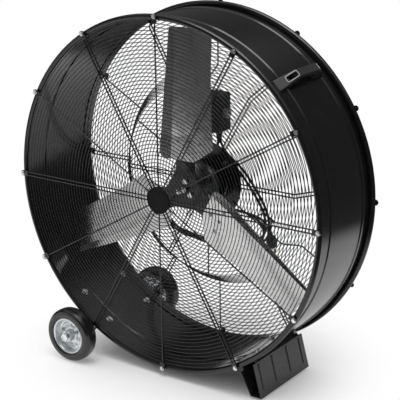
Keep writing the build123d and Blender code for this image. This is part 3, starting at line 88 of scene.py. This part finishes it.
# %% A wrapped socket
class Link:
    """A value inside a material: one output socket, with Python's arithmetic."""

    def __init__(self, tree, socket=None):
        self.tree = tree
        self.socket = socket

    def node(self, kind, settings=None, sockets=None, out=0):
        """Adds a node of a kind, sets it up, then fills its sockets with values or links."""
        made = self.tree.nodes.new(kind)
        for key, value in (settings or {}).items():
            setattr(made, key, value)
        for key, value in (sockets or {}).items():
            if isinstance(value, Link):
                self.tree.links.new(value.socket, made.inputs[key])
            else:
                made.inputs[key].default_value = value
        return Link(self.tree, made.outputs[out])

    def math(self, operation, other=0.0, swapped=False):
        pair = (other, self) if swapped else (self, other)
        return self.node("ShaderNodeMath", {"operation": operation}, {0: pair[0], 1: pair[1]})

    def __add__(self, other):
        return self.math("ADD", other)

    def __sub__(self, other):
        return self.math("SUBTRACT", other)

    def __rsub__(self, other):
        return self.math("SUBTRACT", other, swapped=True)

    def __mul__(self, other):
        return self.math("MULTIPLY", other)

    __radd__ = __add__
    __rmul__ = __mul__

    def step(self, low, high):
        """Smooth 0 to 1 as the value goes from low to high."""
        return self.node("ShaderNodeMapRange", {"interpolation_type": "SMOOTHSTEP"},
                         {"Value": self, "From Min": low, "From Max": high})

    def blend(self, first, second):
        """Colour between first and second, by this value."""
        return self.node("ShaderNodeMix", {"data_type": "RGBA"},
                         {"Factor": self, "A": first, "B": second}, 2)


# %% [markdown]
# ## Finishes
# Real finishes are never quite even, and a flat colour looks like a toy. A picture of each surface
# would be one way to show that, but it needs unwrapping and has a fixed sharpness, so here each
# finish is worked out by nodes at the point that is shaded. All start in the same way: a Principled
# shader whose constants sit on its own sockets, and the object coordinates that its patterns are
# drawn in. Only colour, roughness and bump vary over a surface. The noise scales are in cells per
# metre, so 700 gives a grain of about 1.5 mm.


# %% Start a finish
def shade(r, g, b):
    """A grey or tint as the colour socket takes it."""
    return (r, g, b, 1.0)


class Finish:
    """A material under construction: its shader and where its patterns are drawn."""

    def __init__(self, name, **constants):
        self.material = bpy.data.materials.new(name)
        self.material.use_nodes = True
        self.tree = self.material.node_tree
        self.shader = self.tree.nodes["Principled BSDF"]
        self.place = Link(self.tree).node("ShaderNodeTexCoord", out=3)
        for socket, value in constants.items():
            self.shader.inputs[socket.replace("_", " ")].default_value = value

    def noise(self, scale, detail=3.0, roughness=0.5):
        """Cloudy value from 0 to 1, with a number of cells per metre."""
        return self.place.node("ShaderNodeTexNoise", {"noise_dimensions": "3D"},
                               {"Vector": self.place, "Scale": scale, "Detail": detail,
                                "Roughness": roughness})

    def cells(self, scale):
        """Distance to the nearest cell centre, for flakes and cast grain."""
        return self.place.node("ShaderNodeTexVoronoi", {"feature": "F1"},
                               {"Vector": self.place, "Scale": scale})

    def set(self, socket, value):
        """Feeds a socket of the shader with a value that varies over the surface."""
        self.tree.links.new(value.socket, self.shader.inputs[socket])

    def bump(self, height, distance):
        """Tilts the shading as if the surface rose by distance, in metres, where height is 1."""
        self.set("Normal", height.node("ShaderNodeBump", None,
                                       {"Strength": 1.0, "Distance": distance, "Height": height}))


# %% [markdown]
# ### Black enamel
# The drum, guards, spider and brackets are sprayed and baked gloss black. The spray leaves a fine
# orange peel, which breaks up every highlight a little, and handling leaves faint cloudy patches
# where the gloss is lower. The thick clear top of the enamel is the shader's coat. Black paint is
# shown by what it mirrors, so its own tone is very low. The disc in front of the hub has a duller
# paint with a low IOR, as it stays black where the drum beside it shines.


# %% Enamels
def enamel(name, tone, low_rough, high_rough, peel, coat):
    """Gloss paint: roughness drifts between two values in patches, with orange peel as bump."""
    made = Finish(name, Base_Color=shade(*tone), Coat_Weight=coat, Coat_Roughness=0.08)
    patches = made.noise(7.0, 4.0)
    scuffs = made.noise(60.0, 5.0, 0.65).step(0.58, 0.75)
    made.set("Roughness", low_rough + patches * (high_rough - low_rough) + scuffs * 0.05)
    dust = made.noise(23.0, 6.0, 0.6).step(0.5, 0.8)
    light = tuple(c * 1.6 + 0.002 for c in tone)
    made.set("Base Color", dust.blend(shade(*tone), shade(*light)))
    made.bump(made.noise(420.0, 2.0), peel)
    return made.material


drum_enamel = enamel("drum_enamel", (0.004, 0.004, 0.004), 0.10, 0.19, 0.000006, 0.1)
wire_enamel = enamel("wire_enamel", (0.004, 0.004, 0.004), 0.16, 0.26, 0.000004, 0.1)
motor_enamel = enamel("motor_enamel", (0.006, 0.006, 0.006), 0.12, 0.22, 0.000008, 0.2)
foot_enamel = enamel("foot_enamel", (0.011, 0.011, 0.011), 0.20, 0.32, 0.000010, 0.1)
disc_enamel = enamel("disc_enamel", (0.004, 0.004, 0.004), 0.34, 0.46, 0.000010, 0.0)
disc_enamel.node_tree.nodes["Principled BSDF"].inputs["IOR"].default_value = 1.2
print("enamels:", [m.name for m in bpy.data.materials if "enamel" in m.name])

# %% [markdown]
# ### Bare metals
# Zinc-plated screws and bolts are a bluish grey with a slight bloom. The blades are bright sheet
# aluminium, nearly smooth. The motor's front cover and the hub are cast aluminium, whose grain
# comes from the sand of the mould, and the rims' silver paint is full of metal flake, so it is a
# metal here too. The shaft is ground steel, and the stator is a stack of thin sheets, so its tone
# alternates along the shaft: a sine of the distance along it is simpler than modelling the sheets.


# %% Metals
def metal(name, tone, rough, bloom, grain_scale, grain):
    """Metallic finish: a colour that drifts in a cloudy bloom, and a grain as bump."""
    made = Finish(name, Base_Color=shade(*tone), Metallic=1.0)
    cloud = made.noise(45.0, 4.0, 0.6).step(0.3, 0.8)
    dark = tuple(c * (1.0 - bloom) for c in tone)
    made.set("Base Color", cloud.blend(shade(*tone), shade(*dark)))
    made.set("Roughness", rough + cloud * 0.08)
    made.bump(made.noise(grain_scale, 3.0), grain)
    return made.material


def laminations(name, tone, gap_tone, pitch):
    """Stacked sheets: a stripe across the shaft's direction, from a sine of y over the pitch."""
    made = Finish(name, Base_Color=shade(*tone), Metallic=1.0, Roughness=0.45)
    along = made.place.node("ShaderNodeSeparateXYZ", None, {"Vector": made.place}, out=1)
    stripe = (along * (2 * math.pi / pitch)).math("SINE") * 0.5 + 0.5
    made.set("Base Color", stripe.blend(shade(*gap_tone), shade(*tone)))
    made.bump(stripe, 0.0001)
    return made.material


zinc = metal("zinc_plate", (0.80, 0.81, 0.83), 0.20, 0.18, 900.0, 0.000004)
cast = metal("cast_aluminium", (0.52, 0.53, 0.54), 0.30, 0.3, 700.0, 0.000012)
silver_enamel = metal("silver_enamel", (0.70, 0.73, 0.74), 0.28, 0.16, 420.0, 0.000004)
blade_sheet = metal("blade_sheet", (0.78, 0.78, 0.775), 0.15, 0.08, 180.0, 0.0000015)
steel = metal("ground_steel", (0.55, 0.55, 0.56), 0.18, 0.15, 1500.0, 0.000003)
brass = metal("brass_pins", (0.72, 0.55, 0.28), 0.22, 0.2, 900.0, 0.000004)
stator_sheets = laminations("stator_sheets", (0.30, 0.30, 0.31), (0.08, 0.08, 0.08), 0.001)
winding_copper = laminations("winding_copper", (0.62, 0.28, 0.14), (0.20, 0.07, 0.03), 0.0018)

# %% [markdown]
# ### Rubber and plastic
# Moulded plastic has a spark-eroded texture: tiny round pits that make it satin. They are too
# small to model, and a cell pattern as bump gives them at any distance. Tyre rubber is smoother
# and darker, with a shine where it was polished for sale. The cable's skin is soft PVC.


# %% Rubbers and plastics
def moulded(name, tone, rough, pit_scale, pit, coat=0.0):
    """Moulded surface: round pits from a cell pattern as bump, and cloudy wear in the roughness."""
    made = Finish(name, Base_Color=shade(*tone), Coat_Weight=coat, Coat_Roughness=0.2)
    wear = made.noise(16.0, 5.0, 0.6)
    made.set("Roughness", rough + wear * 0.16)
    light = tuple(c * 1.35 + 0.003 for c in tone)
    made.set("Base Color", wear.step(0.4, 0.7).blend(shade(*tone), shade(*light)))
    made.bump(made.cells(pit_scale), pit)
    return made.material


tyre_rubber = moulded("tyre_rubber", (0.005, 0.005, 0.005), 0.10, 900.0, 0.000004, 0.3)
pad_rubber = moulded("pad_rubber", (0.012, 0.012, 0.012), 0.55, 700.0, 0.00002)
box_plastic = moulded("box_plastic", (0.009, 0.009, 0.009), 0.30, 1400.0, 0.00002)
handle_plastic = moulded("handle_plastic", (0.012, 0.012, 0.012), 0.34, 1300.0, 0.00002)
knob_plastic = moulded("knob_plastic", (0.30, 0.30, 0.31), 0.32, 1300.0, 0.00001)
bush_plastic = moulded("bush_plastic", (0.70, 0.70, 0.67), 0.35, 1100.0, 0.00001)
part_plastic = moulded("part_plastic", (0.05, 0.05, 0.055), 0.45, 1100.0, 0.00002)
cable_pvc = moulded("cable_pvc", (0.008, 0.008, 0.008), 0.28, 1800.0, 0.00001)

# %% [markdown]
# ## Dress the CAD nodes
# A node whose CAD shape is right stays as it is and only gets its finish. The table below goes from
# finish to nodes.

# %% Finishes for the CAD nodes
dressed = {
    disc_enamel: ["front_centre_disc"],
    drum_enamel: ["drum_shell", "motor_mount_ring", "axle_brackets", "axle_spacers",
                  "blade_spider", "guard_clips"],
    foot_enamel: ["foot_bracket"],
    blade_sheet: ["fan_blade_1", "fan_blade_2", "fan_blade_3"],
    wire_enamel: ["front_guard_rings", "front_guard_spokes", "rear_guard_outer_rings",
                  "rear_guard_inner_rings", "rear_guard_cone_rings", "rear_guard_spokes"],
    motor_enamel: ["motor_housing", "motor_rear_bell"],
    silver_enamel: ["front_rim", "rear_rim"],
    zinc: ["guard_screws", "motor_mount_bolts", "motor_tie_rods", "blade_bolts", "hub_bolts",
           "frame_bolts", "handle_screws", "switch_box_screws", "switch_bracket", "switch_clamps",
           "axle", "axle_washers", "axle_nuts"],
    cast: ["motor_front_bell", "fan_hub", "motor_rotor"],
    steel: ["motor_shaft", "motor_bearings", "hub_set_screw"],
    brass: ["plug_pins"],
    stator_sheets: ["stator_core"],
    winding_copper: ["stator_windings"],
    tyre_rubber: ["front_tyre", "rear_tyre"],
    pad_rubber: ["foot_pads"],
    box_plastic: ["switch_box", "switch_box_lid"],
    handle_plastic: ["carry_handle"],
    knob_plastic: ["switch_knob", "run_capacitor"],
    bush_plastic: ["front_wheel_bush", "rear_wheel_bush"],
    part_plastic: ["speed_switch"],
    cable_pvc: ["motor_cable", "lead_strain_relief", "mains_lead", "mains_lead_coil", "plug_body",
                "lead_tie"],
}
for material, names in dressed.items():
    for name in names:
        for material_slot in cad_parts[name].material_slots:
            material_slot.material = material
undressed = set(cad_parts) - {n for names in dressed.values() for n in names}
print("nodes without a finish:", sorted(undressed))

# %% [markdown]
# ## Meshes from arrays
# New pieces are grids: two parameters, one point for each pair, worked out as whole numpy arrays.
# Every shape here closes both ways, as the skin of a ring does, so the helper joins the last row
# to the first and the last column to the first. That leaves no seam and no pole.


# %% A mesh from a grid of points
def grid_faces(rows, columns):
    """Quads of a grid that closes both ways. A face looks along (row direction) x (column
    direction)."""
    i = np.arange(rows)[:, None]
    j = np.arange(columns)[None, :]
    a = i * columns + j
    b = i * columns + (j + 1) % columns
    c = ((i + 1) % rows) * columns + (j + 1) % columns
    d = ((i + 1) % rows) * columns + j
    return np.stack([a, d, c, b], axis=-1).reshape(-1, 4)


def piece(name, points, faces, material, body):
    """A finished object at the origin, with its points in the row frame, riding on a body."""
    mesh = bpy.data.meshes.new(name)
    mesh.from_pydata(points.reshape(-1, 3).tolist(), [], faces.tolist())
    mesh.polygons.foreach_set("use_smooth", [True] * len(mesh.polygons))
    mesh.materials.append(material)
    mesh.update()
    made = bpy.data.objects.new(name, mesh)
    bpy.context.scene.collection.objects.link(made)
    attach(made, body)
    print(name, len(mesh.vertices), "vertices")
    return made


# %% [markdown]
# ## Guard rings
# The real guard is made of separate round wires, each welded to the spokes. The CAD model winds
# each flat field as one spiral to keep its file small. Rings could be curves with a bevel, but here
# every ring is its own torus, a small circle carried round a large one, which is one formula for
# all the rings at once. The rings of the rear guard's cone pass through the wire of its spokes
# here, where the real ones are welded on it. That places them so that they stand one behind the
# other when seen from the front right, and show as one dark curve at the left of the top blade.


# %% Rings as tori
def ring_stack(radii, depth, wire_radius, steps=160, sides=8):
    """Tori: at angles a (round the fan) and b (round the wire), a ring of radius R has the reach
    R + w cos b, which gives x = reach sin a, y = depth + w sin b, z = axle height + reach cos a.
    Radii and depths are arrays with a number for each ring."""
    a = np.linspace(0, 2 * np.pi, steps, endpoint=False)[None, :, None]
    b = np.linspace(0, 2 * np.pi, sides, endpoint=False)[None, None, :]
    reach = radii[:, None, None] + wire_radius * np.cos(b)
    x, z = around(reach, a)
    y = np.broadcast_to(depth[:, None, None] + wire_radius * np.sin(b), x.shape)
    one = grid_faces(steps, sides)
    shift = np.arange(len(radii)) * steps * sides
    faces = (one[None] + shift[:, None, None]).reshape(-1, 4)
    return np.stack([x, y, z], axis=-1), faces


ring_wire = 1.2 * mm
# Name: smallest and largest radius, depth of each of these, number of rings, CAD node replaced.
ring_sets = {
    "front_rings": (32.7, 481.5, -146.78, -146.78, 45, "front_guard_rings"),
    "rear_outer_rings": (337.0, 479.0, 134.78, 134.78, 15, "rear_guard_outer_rings"),
    "rear_cone_rings": (289.5, 325.0, 81.5, 132.2, 7, "rear_guard_cone_rings"),
    "rear_inner_rings": (116.0, 284.0, 76.78, 76.78, 17, "rear_guard_inner_rings"),
}
for ring_name, (small, large, near, far, count, node) in ring_sets.items():
    radii, depths = np.linspace(small, large, count) * mm, np.linspace(near, far, count) * mm
    points, faces = ring_stack(radii, depths, ring_wire)
    rings = piece(ring_name, points, faces, wire_enamel, "drum")
    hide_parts(node)

# %% [markdown]
# ## Tyres
# The tyre is solid moulded rubber. Its section is a superellipse, fuller than an ellipse at the
# shoulders, with a groove along each edge of the tread, a ring pressed into the side wall and the
# thin ridge that the two mould halves leave in the middle of the tread. A torus with Subdivision
# could give the round form, but a formula for the section puts each groove where it belongs.


# %% Tyres as turned sections
wheel_x, wheel_z = -292 * mm, 80 * mm
wheel_y = 202.7 * mm


def turned(section_r, section_y, steps):
    """Closed section (r, y) turned about the wheel's axis: x = wheel x + r sin a and
    z = wheel z + r cos a."""
    a = np.linspace(0, 2 * np.pi, steps, endpoint=False)[:, None]
    x = wheel_x + section_r[None, :] * np.sin(a)
    z = wheel_z + section_r[None, :] * np.cos(a)
    y = np.broadcast_to(section_y[None, :], x.shape)
    return np.stack([x, y, z], axis=-1), grid_faces(steps, len(section_r))


def tyre_section(sides=96):
    """Superellipse of power 2.7 about r = 65, y = 0, swollen by 1 + e: e dips at the tread's two
    grooves and at the ring in each side wall, and rises at the mould line."""
    b = np.linspace(0, 2 * np.pi, sides, endpoint=False) + np.pi
    wide, high = np.sin(b), -np.cos(b)
    power = 2 / 2.7
    y = 22.9 * np.sign(wide) * np.abs(wide) ** power
    r = 14.9 * np.sign(high) * np.abs(high) ** power
    tread = high > 0
    groove = tread * np.exp(-(((np.abs(y) - 15.5) / 0.9) ** 2))
    ring = np.exp(-(((r - 4.0) / 1.0) ** 2)) * (np.abs(y) > 15)
    mould_line = tread * np.exp(-((y / 0.8) ** 2))
    swell = 1 - 0.06 * groove - 0.03 * ring + 0.006 * mould_line
    return (65 + r * swell) * mm, y * swell * mm


section_r, section_y = tyre_section()
for wheel, side in (("front", -1), ("rear", 1)):
    points, faces = turned(section_r, side * wheel_y + section_y, 160)
    tyre = piece(wheel + "_tyre_rubber", points, faces, tyre_rubber, wheel + "_wheel")
    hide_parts(wheel + "_tyre")

# %% [markdown]
# ## Rims
# The rims are pressed steel in silver paint. The web is dished, with three kidney-shaped hollows
# round the hub and a small hole between each two of them. The hollows are added to the height of
# the web as a function of radius and angle. A hole isn't a height, so the holes are cut afterwards
# with a Boolean, as they are punched after the pressing on the real rim.


# %% Rim surfaces
def smooth(value, low, high):
    """Smooth step from 0 to 1 between low and high."""
    share = np.clip((value - low) / (high - low), 0, 1)
    return share * share * (3 - 2 * share)


def web_height(r, a, phase):
    """Outer height of the web: 9 at the hub, falling to 5 near the barrel, less three hollows that
    are a ring about r = 31 times the positive part of cos 3(a - phase)."""
    dish = 9.0 - 4.0 * smooth(r, 20.0, 40.0)
    band = np.exp(-(((r - 31.0) / 7.0) ** 4))
    lobe = smooth(np.cos(3 * (a - phase)), -0.35, 0.35)
    return dish - 6.0 * band * lobe


def rim_points(side, phase, steps=180):
    """Closed section (r, y) carried round the axle: half barrel, rolled lip, web and hub, then the
    same back again on the other face. Only the web's y changes with the angle."""
    lip = [(50.0, 16.0), (50.6, 17.4), (53.4, 18.0), (54.2, 19.0), (54.0, 20.2), (52.8, 20.9),
           (51.0, 20.7), (49.2, 19.6), (48.0, 17.5), (47.5, 15.0), (47.5, 10.0)]
    hub = [(17.4, 12.0), (17.0, 14.0), (17.0, 22.4), (16.4, 23.6), (15.4, 24.0), (12.0, 24.0),
           (10.9, 23.6)]
    web_r = np.concatenate([[47.0, 46.0], np.linspace(44.5, 19.0, 26), [18.0]])
    a = np.linspace(0, 2 * np.pi, steps, endpoint=False)[:, None]
    outer_web = web_height(web_r[None, :], a, phase)
    inner_web = outer_web[:, ::-1] - 3.0
    lip_r, lip_y = np.array(lip).T
    hub_r, hub_y = np.array(hub).T
    tall = np.ones((steps, 1))
    r = np.concatenate([lip_r, web_r, hub_r, hub_r[::-1], web_r[::-1], lip_r[::-1]])[None, :] * tall
    y = np.concatenate([tall * lip_y, outer_web, tall * hub_y, -tall * hub_y[::-1], inner_web,
                        -tall * lip_y[::-1]], axis=1)
    x = wheel_x + r * mm * np.sin(a)
    z = wheel_z + r * mm * np.cos(a)
    points = np.stack([x, side * (wheel_y + y * mm), z], axis=-1)
    faces = grid_faces(steps, r.shape[1])
    return points, faces if side > 0 else faces[:, ::-1]


hole_radius = 4.5 * mm
hole_circle = 34 * mm


def hole_cutter(side, phase):
    """Three short closed cylinders on the hole circle, as one mesh for a Boolean."""
    steps = 32
    b = np.linspace(0, 2 * np.pi, steps, endpoint=False)
    points, faces = [], []
    for k in range(3):
        a = phase + (2 * k + 1) * np.pi / 3
        centre_x, centre_z = wheel_x + hole_circle * np.sin(a), wheel_z + hole_circle * np.cos(a)
        for y in (-2 * mm, 14 * mm):
            points.append(np.stack([centre_x + hole_radius * np.cos(b),
                                    np.full(steps, side * wheel_y + y * side),
                                    centre_z + hole_radius * np.sin(b)], axis=-1))
        low = 2 * k * steps
        ring = np.arange(steps)
        walls = np.stack([low + ring, low + (ring + 1) % steps, low + steps + (ring + 1) % steps,
                          low + steps + ring], axis=-1)
        faces += walls.tolist() + [(low + ring[::-1]).tolist(), (low + steps + ring).tolist()]
    mesh = bpy.data.meshes.new("hole_cutter")
    mesh.from_pydata(np.concatenate(points).tolist(), [], faces)
    return bpy.data.objects.new("hole_cutter", mesh)


def cut_holes(rim, cutter):
    """Takes the cutter out of the rim and keeps the result as the rim's own mesh."""
    bpy.context.scene.collection.objects.link(cutter)
    cut = rim.modifiers.new("holes", "BOOLEAN")
    cut.object = cutter
    cut.operation = "DIFFERENCE"
    cut.solver = "EXACT"
    depsgraph = bpy.context.evaluated_depsgraph_get()
    cut_mesh = bpy.data.meshes.new_from_object(rim.evaluated_get(depsgraph))
    rim.modifiers.clear()
    rim.data = cut_mesh
    rim.data.set_sharp_from_angle(angle=math.radians(35))
    bpy.data.objects.remove(cutter)


hole_phase = math.radians(17.0 - 60.0)
for wheel, side in (("front", -1), ("rear", 1)):
    points, faces = rim_points(side, hole_phase)
    rim = piece(wheel + "_rim_pressing", points, faces, silver_enamel, wheel + "_wheel")
    cut_holes(rim, hole_cutter(side, hole_phase))
    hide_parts(wheel + "_rim")
    print(rim.name, "faces after cutting:", len(rim.data.polygons))

# %% [markdown]
# ## Lips of the handle's pockets
# Each screw of the handle sits in a pocket whose edge is a raised, polished lip that catches the
# light. Here that gleam is painted: the lip is a thin bead of pale grey plastic, a painted
# highlight, that follows a rectangle with rounded corners on the slope of the handle. A Bevel on
# the pocket's edge would give the gleam from the lamps instead, but the CAD mesh is left as it is.


# %% Pocket lips
handle_top = 531.0
slope_start, slope_fall, slope_run = 48.0, 40.0, 58.0
lip_half_width, lip_half_length, lip_middle = 8.3, 15.2, 64.5


def pocket_lip(side, steps=96, sides=8):
    """Path: a superellipse of power 8 on the slope, where the radius falls as the distance from the
    handle's middle grows. The bead is a small circle spanned by the slope's normal and the path's
    own in-plane normal. Millimetres from the hub."""
    angle = math.radians(45.0)
    out = np.array([math.sin(angle), 0.0, math.cos(angle)])
    across = np.array([math.cos(angle), 0.0, -math.sin(angle)])
    fall = slope_fall / slope_run
    along = np.array([0.0, side, 0.0]) - fall * out
    normal = out + fall * np.array([0.0, side, 0.0])
    normal = normal / np.linalg.norm(normal)
    t = np.linspace(0, 2 * np.pi, steps, endpoint=False)
    power = 2 / 8
    u = lip_half_width * np.sign(np.cos(t)) * np.abs(np.cos(t)) ** power
    v = lip_middle + lip_half_length * np.sign(np.sin(t)) * np.abs(np.sin(t)) ** power
    path = u[:, None] * across + (v - slope_start)[:, None] * along
    path = path + handle_top * out + np.array([0.0, side * slope_start, 0.0])
    run = np.roll(path, -1, axis=0) - np.roll(path, 1, axis=0)
    run = run / np.linalg.norm(run, axis=1, keepdims=True)
    aside = np.cross(run, normal)
    b = np.linspace(0, 2 * np.pi, sides, endpoint=False)
    bead = 1.4
    points = (path[:, None, :] + bead * np.cos(b)[None, :, None] * aside[:, None, :]
              + bead * np.sin(b)[None, :, None] * normal)
    faces = grid_faces(steps, sides)
    return points * mm + hub_centre, faces[:, ::-1]


# Pale grey instead of the handle's black is a painted highlight on the lips, not the plastic's own
# colour.
painted_highlight_plastic = moulded("painted_highlight_plastic", (0.22, 0.22, 0.23), 0.26, 1300.0, 0.00002, 0.3)
for lip_name, side in (("front_pocket_highlight_lip", -1), ("rear_pocket_highlight_lip", 1)):
    points, faces = pocket_lip(side)
    piece(lip_name, points, faces, painted_highlight_plastic, "drum")

# %% [markdown]
# ## Mains lead
# The lead leaves the switch box through a tapered boot, goes about one and a half times round the
# motor in loose turns, then one and a third times round a flatter loop under it, and its plug hangs
# at the right. A simulation could drop a real cord there, but its rest would be hard to steer, so
# it is one NURBS curve near points worked out from the radius at which each turn hangs. Turns are
# kept apart in depth, as round cable can't share a place, and no two are of one size. At the end
# the points are evened out, because stiff cable doesn't bend sharply.

# %% Centre line of the lead
lead_radius = 3.75 * mm
lobe_spread = 22.0


def hung_turn(angle, turn):
    """Radius of a hung turn at an angle from the top: it grows as a power of the fall
    (1 - cos a) / 2, plus a bell-shaped lobe at 128 and at 228 degrees where the lead rests."""
    fall = ((1 - np.cos(np.radians(angle))) / 2) ** (1.5 + 0.35 * turn)
    right = np.exp(-(((angle - 128) / lobe_spread) ** 2))
    left = np.exp(-(((angle - 228) / lobe_spread) ** 2))
    return 76 + 9 * (1 - turn) + 118 * fall + 74 * right + 70 * left


def low_loop(angle, inset):
    """The loop under the motor: x = half sin a, z = rise cos a (1 + 0.6 sin^2 a) below the hub."""
    a = np.radians(angle)
    x = (181 - inset) * np.sin(a)
    z = -136 + (53 - inset / 3) * np.cos(a) * (1 + 0.6 * np.sin(a) ** 2)
    return x, z


def turn_points(angle, turn, depth):
    radius = hung_turn(angle, turn)
    a = np.radians(angle)
    return np.stack([radius * np.sin(a), depth, radius * np.cos(a)], axis=-1)


def evened(line, spacing, passes):
    """Line set out again at equal steps of length, then each inner point moved to a quarter of each
    neighbour plus half of itself, a few times over. Tight corners open out and both ends stay."""
    legs = np.linalg.norm(np.diff(line, axis=0), axis=1)
    walked = np.concatenate([[0.0], np.cumsum(legs)])
    marks = np.linspace(0.0, walked[-1], int(round(walked[-1] / spacing)) + 1)
    even = np.stack([np.interp(marks, walked, line[:, k]) for k in range(3)], axis=-1)
    for _ in range(passes):
        even[1:-1] = (even[:-2] + 2 * even[1:-1] + even[2:]) / 4
    return even


angle_a = np.arange(35.0, 351.0, 15.0)
first_turn = turn_points(angle_a, 0, np.interp(angle_a, [35, 80], [112.0, 116.5]))
angle_b = np.arange(10.0, 221.0, 15.0)
second_turn = turn_points(angle_b, 1, np.full(angle_b.shape, 116.5))
angle_c = np.arange(-99.0, 396.0, 15.0)
inset_c = np.interp(angle_c, [200, 300], [0.0, 9.0])
x_c, z_c = low_loop(angle_c, inset_c)
y_c = np.interp(angle_c, [-84, -40, 170, 260, 330, 396], [115.0, 108.0, 108.0, 102.0, 108.0, 114.0])
low_turns = np.stack([x_c, y_c, z_c], axis=-1)
lead_start = np.array([[24, 110, 115], [24, 110, 106], [29, 111, 92]], float)
lead_tail = np.array([[146, 117, -92], [164, 126, -103], [174, 134, -120], [176, 137, -141]], float)
lead_path = np.concatenate([lead_start, first_turn, second_turn, low_turns, lead_tail])
lead_line = evened(lead_path, 16.0, 4) * mm + hub_centre
print("lead spline points:", len(lead_line))

# %% The lead as one curve
lead_curve = bpy.data.curves.new("mains_lead_curve", "CURVE")
lead_curve.dimensions = "3D"
lead_curve.bevel_depth = lead_radius
lead_curve.bevel_resolution = 3
lead_curve.resolution_u = 6
lead_curve.use_fill_caps = True
spline = lead_curve.splines.new("NURBS")
spline.points.add(len(lead_line) - 1)
spline.points.foreach_set("co", np.hstack([lead_line, np.ones((len(lead_line), 1))]).ravel())
spline.order_u = 3
spline.use_endpoint_u = True
lead_curve.materials.append(cable_pvc)
lead = bpy.data.objects.new("mains_lead_line", lead_curve)
bpy.context.scene.collection.objects.link(lead)
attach(lead, "drum")
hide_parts("mains_lead", "mains_lead_coil")
lead_length = float(spline.calc_length())
print("lead length:", round(lead_length, 3), "m")

# %% [markdown]
# ## Room and light
# The fan stands on a white floor that keeps its shadow, and the camera sees plain white behind it.
# Black paint and bright metal show what they mirror, and a room that is white all round would turn
# both pale grey. So mirror rays see a studio: a pale ceiling, dark walls, and a dark floor with one
# long white sheet in front of the fan. They give the drum its bright shoulder and black flank, and
# the three blades their three tones. The Light Path node tells the kinds of ray apart.

# %% Floor
sheet_middle = (-0.65, -0.45, 0.0)
sheet_turn = (0.0, 0.0, math.radians(42.0))
sheet_half_sizes = (1.9, 1.0, 1.0)
floor_material = bpy.data.materials.new("studio_floor")
floor_material.use_nodes = True
floor_tree = floor_material.node_tree
floor_shader = floor_tree.nodes["Principled BSDF"]
floor_shader.inputs["Roughness"].default_value = 0.9
rays = floor_tree.nodes.new("ShaderNodeLightPath")
seen = Link(floor_tree, rays.outputs["Is Camera Ray"])
mirrored = Link(floor_tree, rays.outputs["Is Glossy Ray"])
place = Link(floor_tree).node("ShaderNodeTexCoord", out=3)
from_fan = place.node("ShaderNodeVectorMath", {"operation": "LENGTH"}, {0: place}, out=1)
sheet = place.node("ShaderNodeMapping", {"vector_type": "TEXTURE"},
                   {"Vector": place, "Location": sheet_middle, "Rotation": sheet_turn,
                    "Scale": sheet_half_sizes})
from_sheet = place.node("ShaderNodeVectorMath", {"operation": "LENGTH"}, {0: sheet}, out=1)
on_sheet = 1.0 - from_sheet.step(1.0, 1.25)
dark_room = (1.0 - on_sheet) * mirrored
floor_colour = dark_room.blend(shade(0.95, 0.95, 0.95), shade(0.06, 0.06, 0.06))
floor_tree.links.new(floor_colour.socket, floor_shader.inputs["Base Color"])
white_glow = Link(floor_tree).node("ShaderNodeEmission", None,
                                   {"Color": shade(1, 1, 1), "Strength": 1.0})
lit_floor = Link(floor_tree, floor_shader.outputs["BSDF"])
faded = lit_floor.node("ShaderNodeMixShader", None,
                       {0: from_fan.step(0.22, 0.62) * seen, 1: lit_floor, 2: white_glow})
floor_tree.links.new(faded.socket, floor_tree.nodes["Material Output"].inputs["Surface"])
reach = 12.0
corners = [(-reach, -reach, 0), (reach, -reach, 0), (reach, reach, 0), (-reach, reach, 0)]
floor_mesh = bpy.data.meshes.new("studio_floor")
floor_mesh.from_pydata(corners, [], [(0, 1, 2, 3)])
floor_mesh.materials.append(floor_material)
floor = bpy.data.objects.new("studio_floor", floor_mesh)
bpy.context.scene.collection.objects.link(floor)

# %% World and lamps
world = bpy.data.worlds.new("studio_world")
bpy.context.scene.world = world
world.use_nodes = True
sky_tree = world.node_tree
background = sky_tree.nodes["Background"]
sky_rays = sky_tree.nodes.new("ShaderNodeLightPath")
direction = Link(sky_tree).node("ShaderNodeTexCoord", out=0)
height = direction.node("ShaderNodeSeparateXYZ", None, {"Vector": direction}, out=2)
ceiling = height.step(0.5, 0.72).blend(shade(0.075, 0.075, 0.075), shade(0.62, 0.62, 0.62))
ambient = Link(sky_tree, sky_rays.outputs["Is Glossy Ray"]).blend(shade(0.85, 0.85, 0.85), ceiling)
sky = Link(sky_tree, sky_rays.outputs["Is Camera Ray"]).blend(ambient, shade(1, 1, 1))
sky_tree.links.new(sky.socket, background.inputs["Color"])
background.inputs["Strength"].default_value = 1.0


def soft_light(name, place, aim_at, width, height, power):
    """A rectangular area lamp at a place, turned to face a point."""
    data = bpy.data.lights.new(name, "AREA")
    data.shape = "RECTANGLE"
    data.size = width
    data.size_y = height
    data.energy = power
    lamp = bpy.data.objects.new(name, data)
    bpy.context.scene.collection.objects.link(lamp)
    lamp.location = place
    lamp.rotation_euler = (Vector(aim_at) - Vector(place)).to_track_quat("-Z", "Y").to_euler()


soft_light("overhead_soft_light", (0.3, -0.5, 3.0), (0, 0, 0.5), 1.8, 1.8, 40)
soft_light("left_soft_light", (-2.6, -2.1, 0.75), (0, 0, 0.5), 1.7, 1.3, 5.5)
bpy.context.scene.view_settings.view_transform = "Standard"
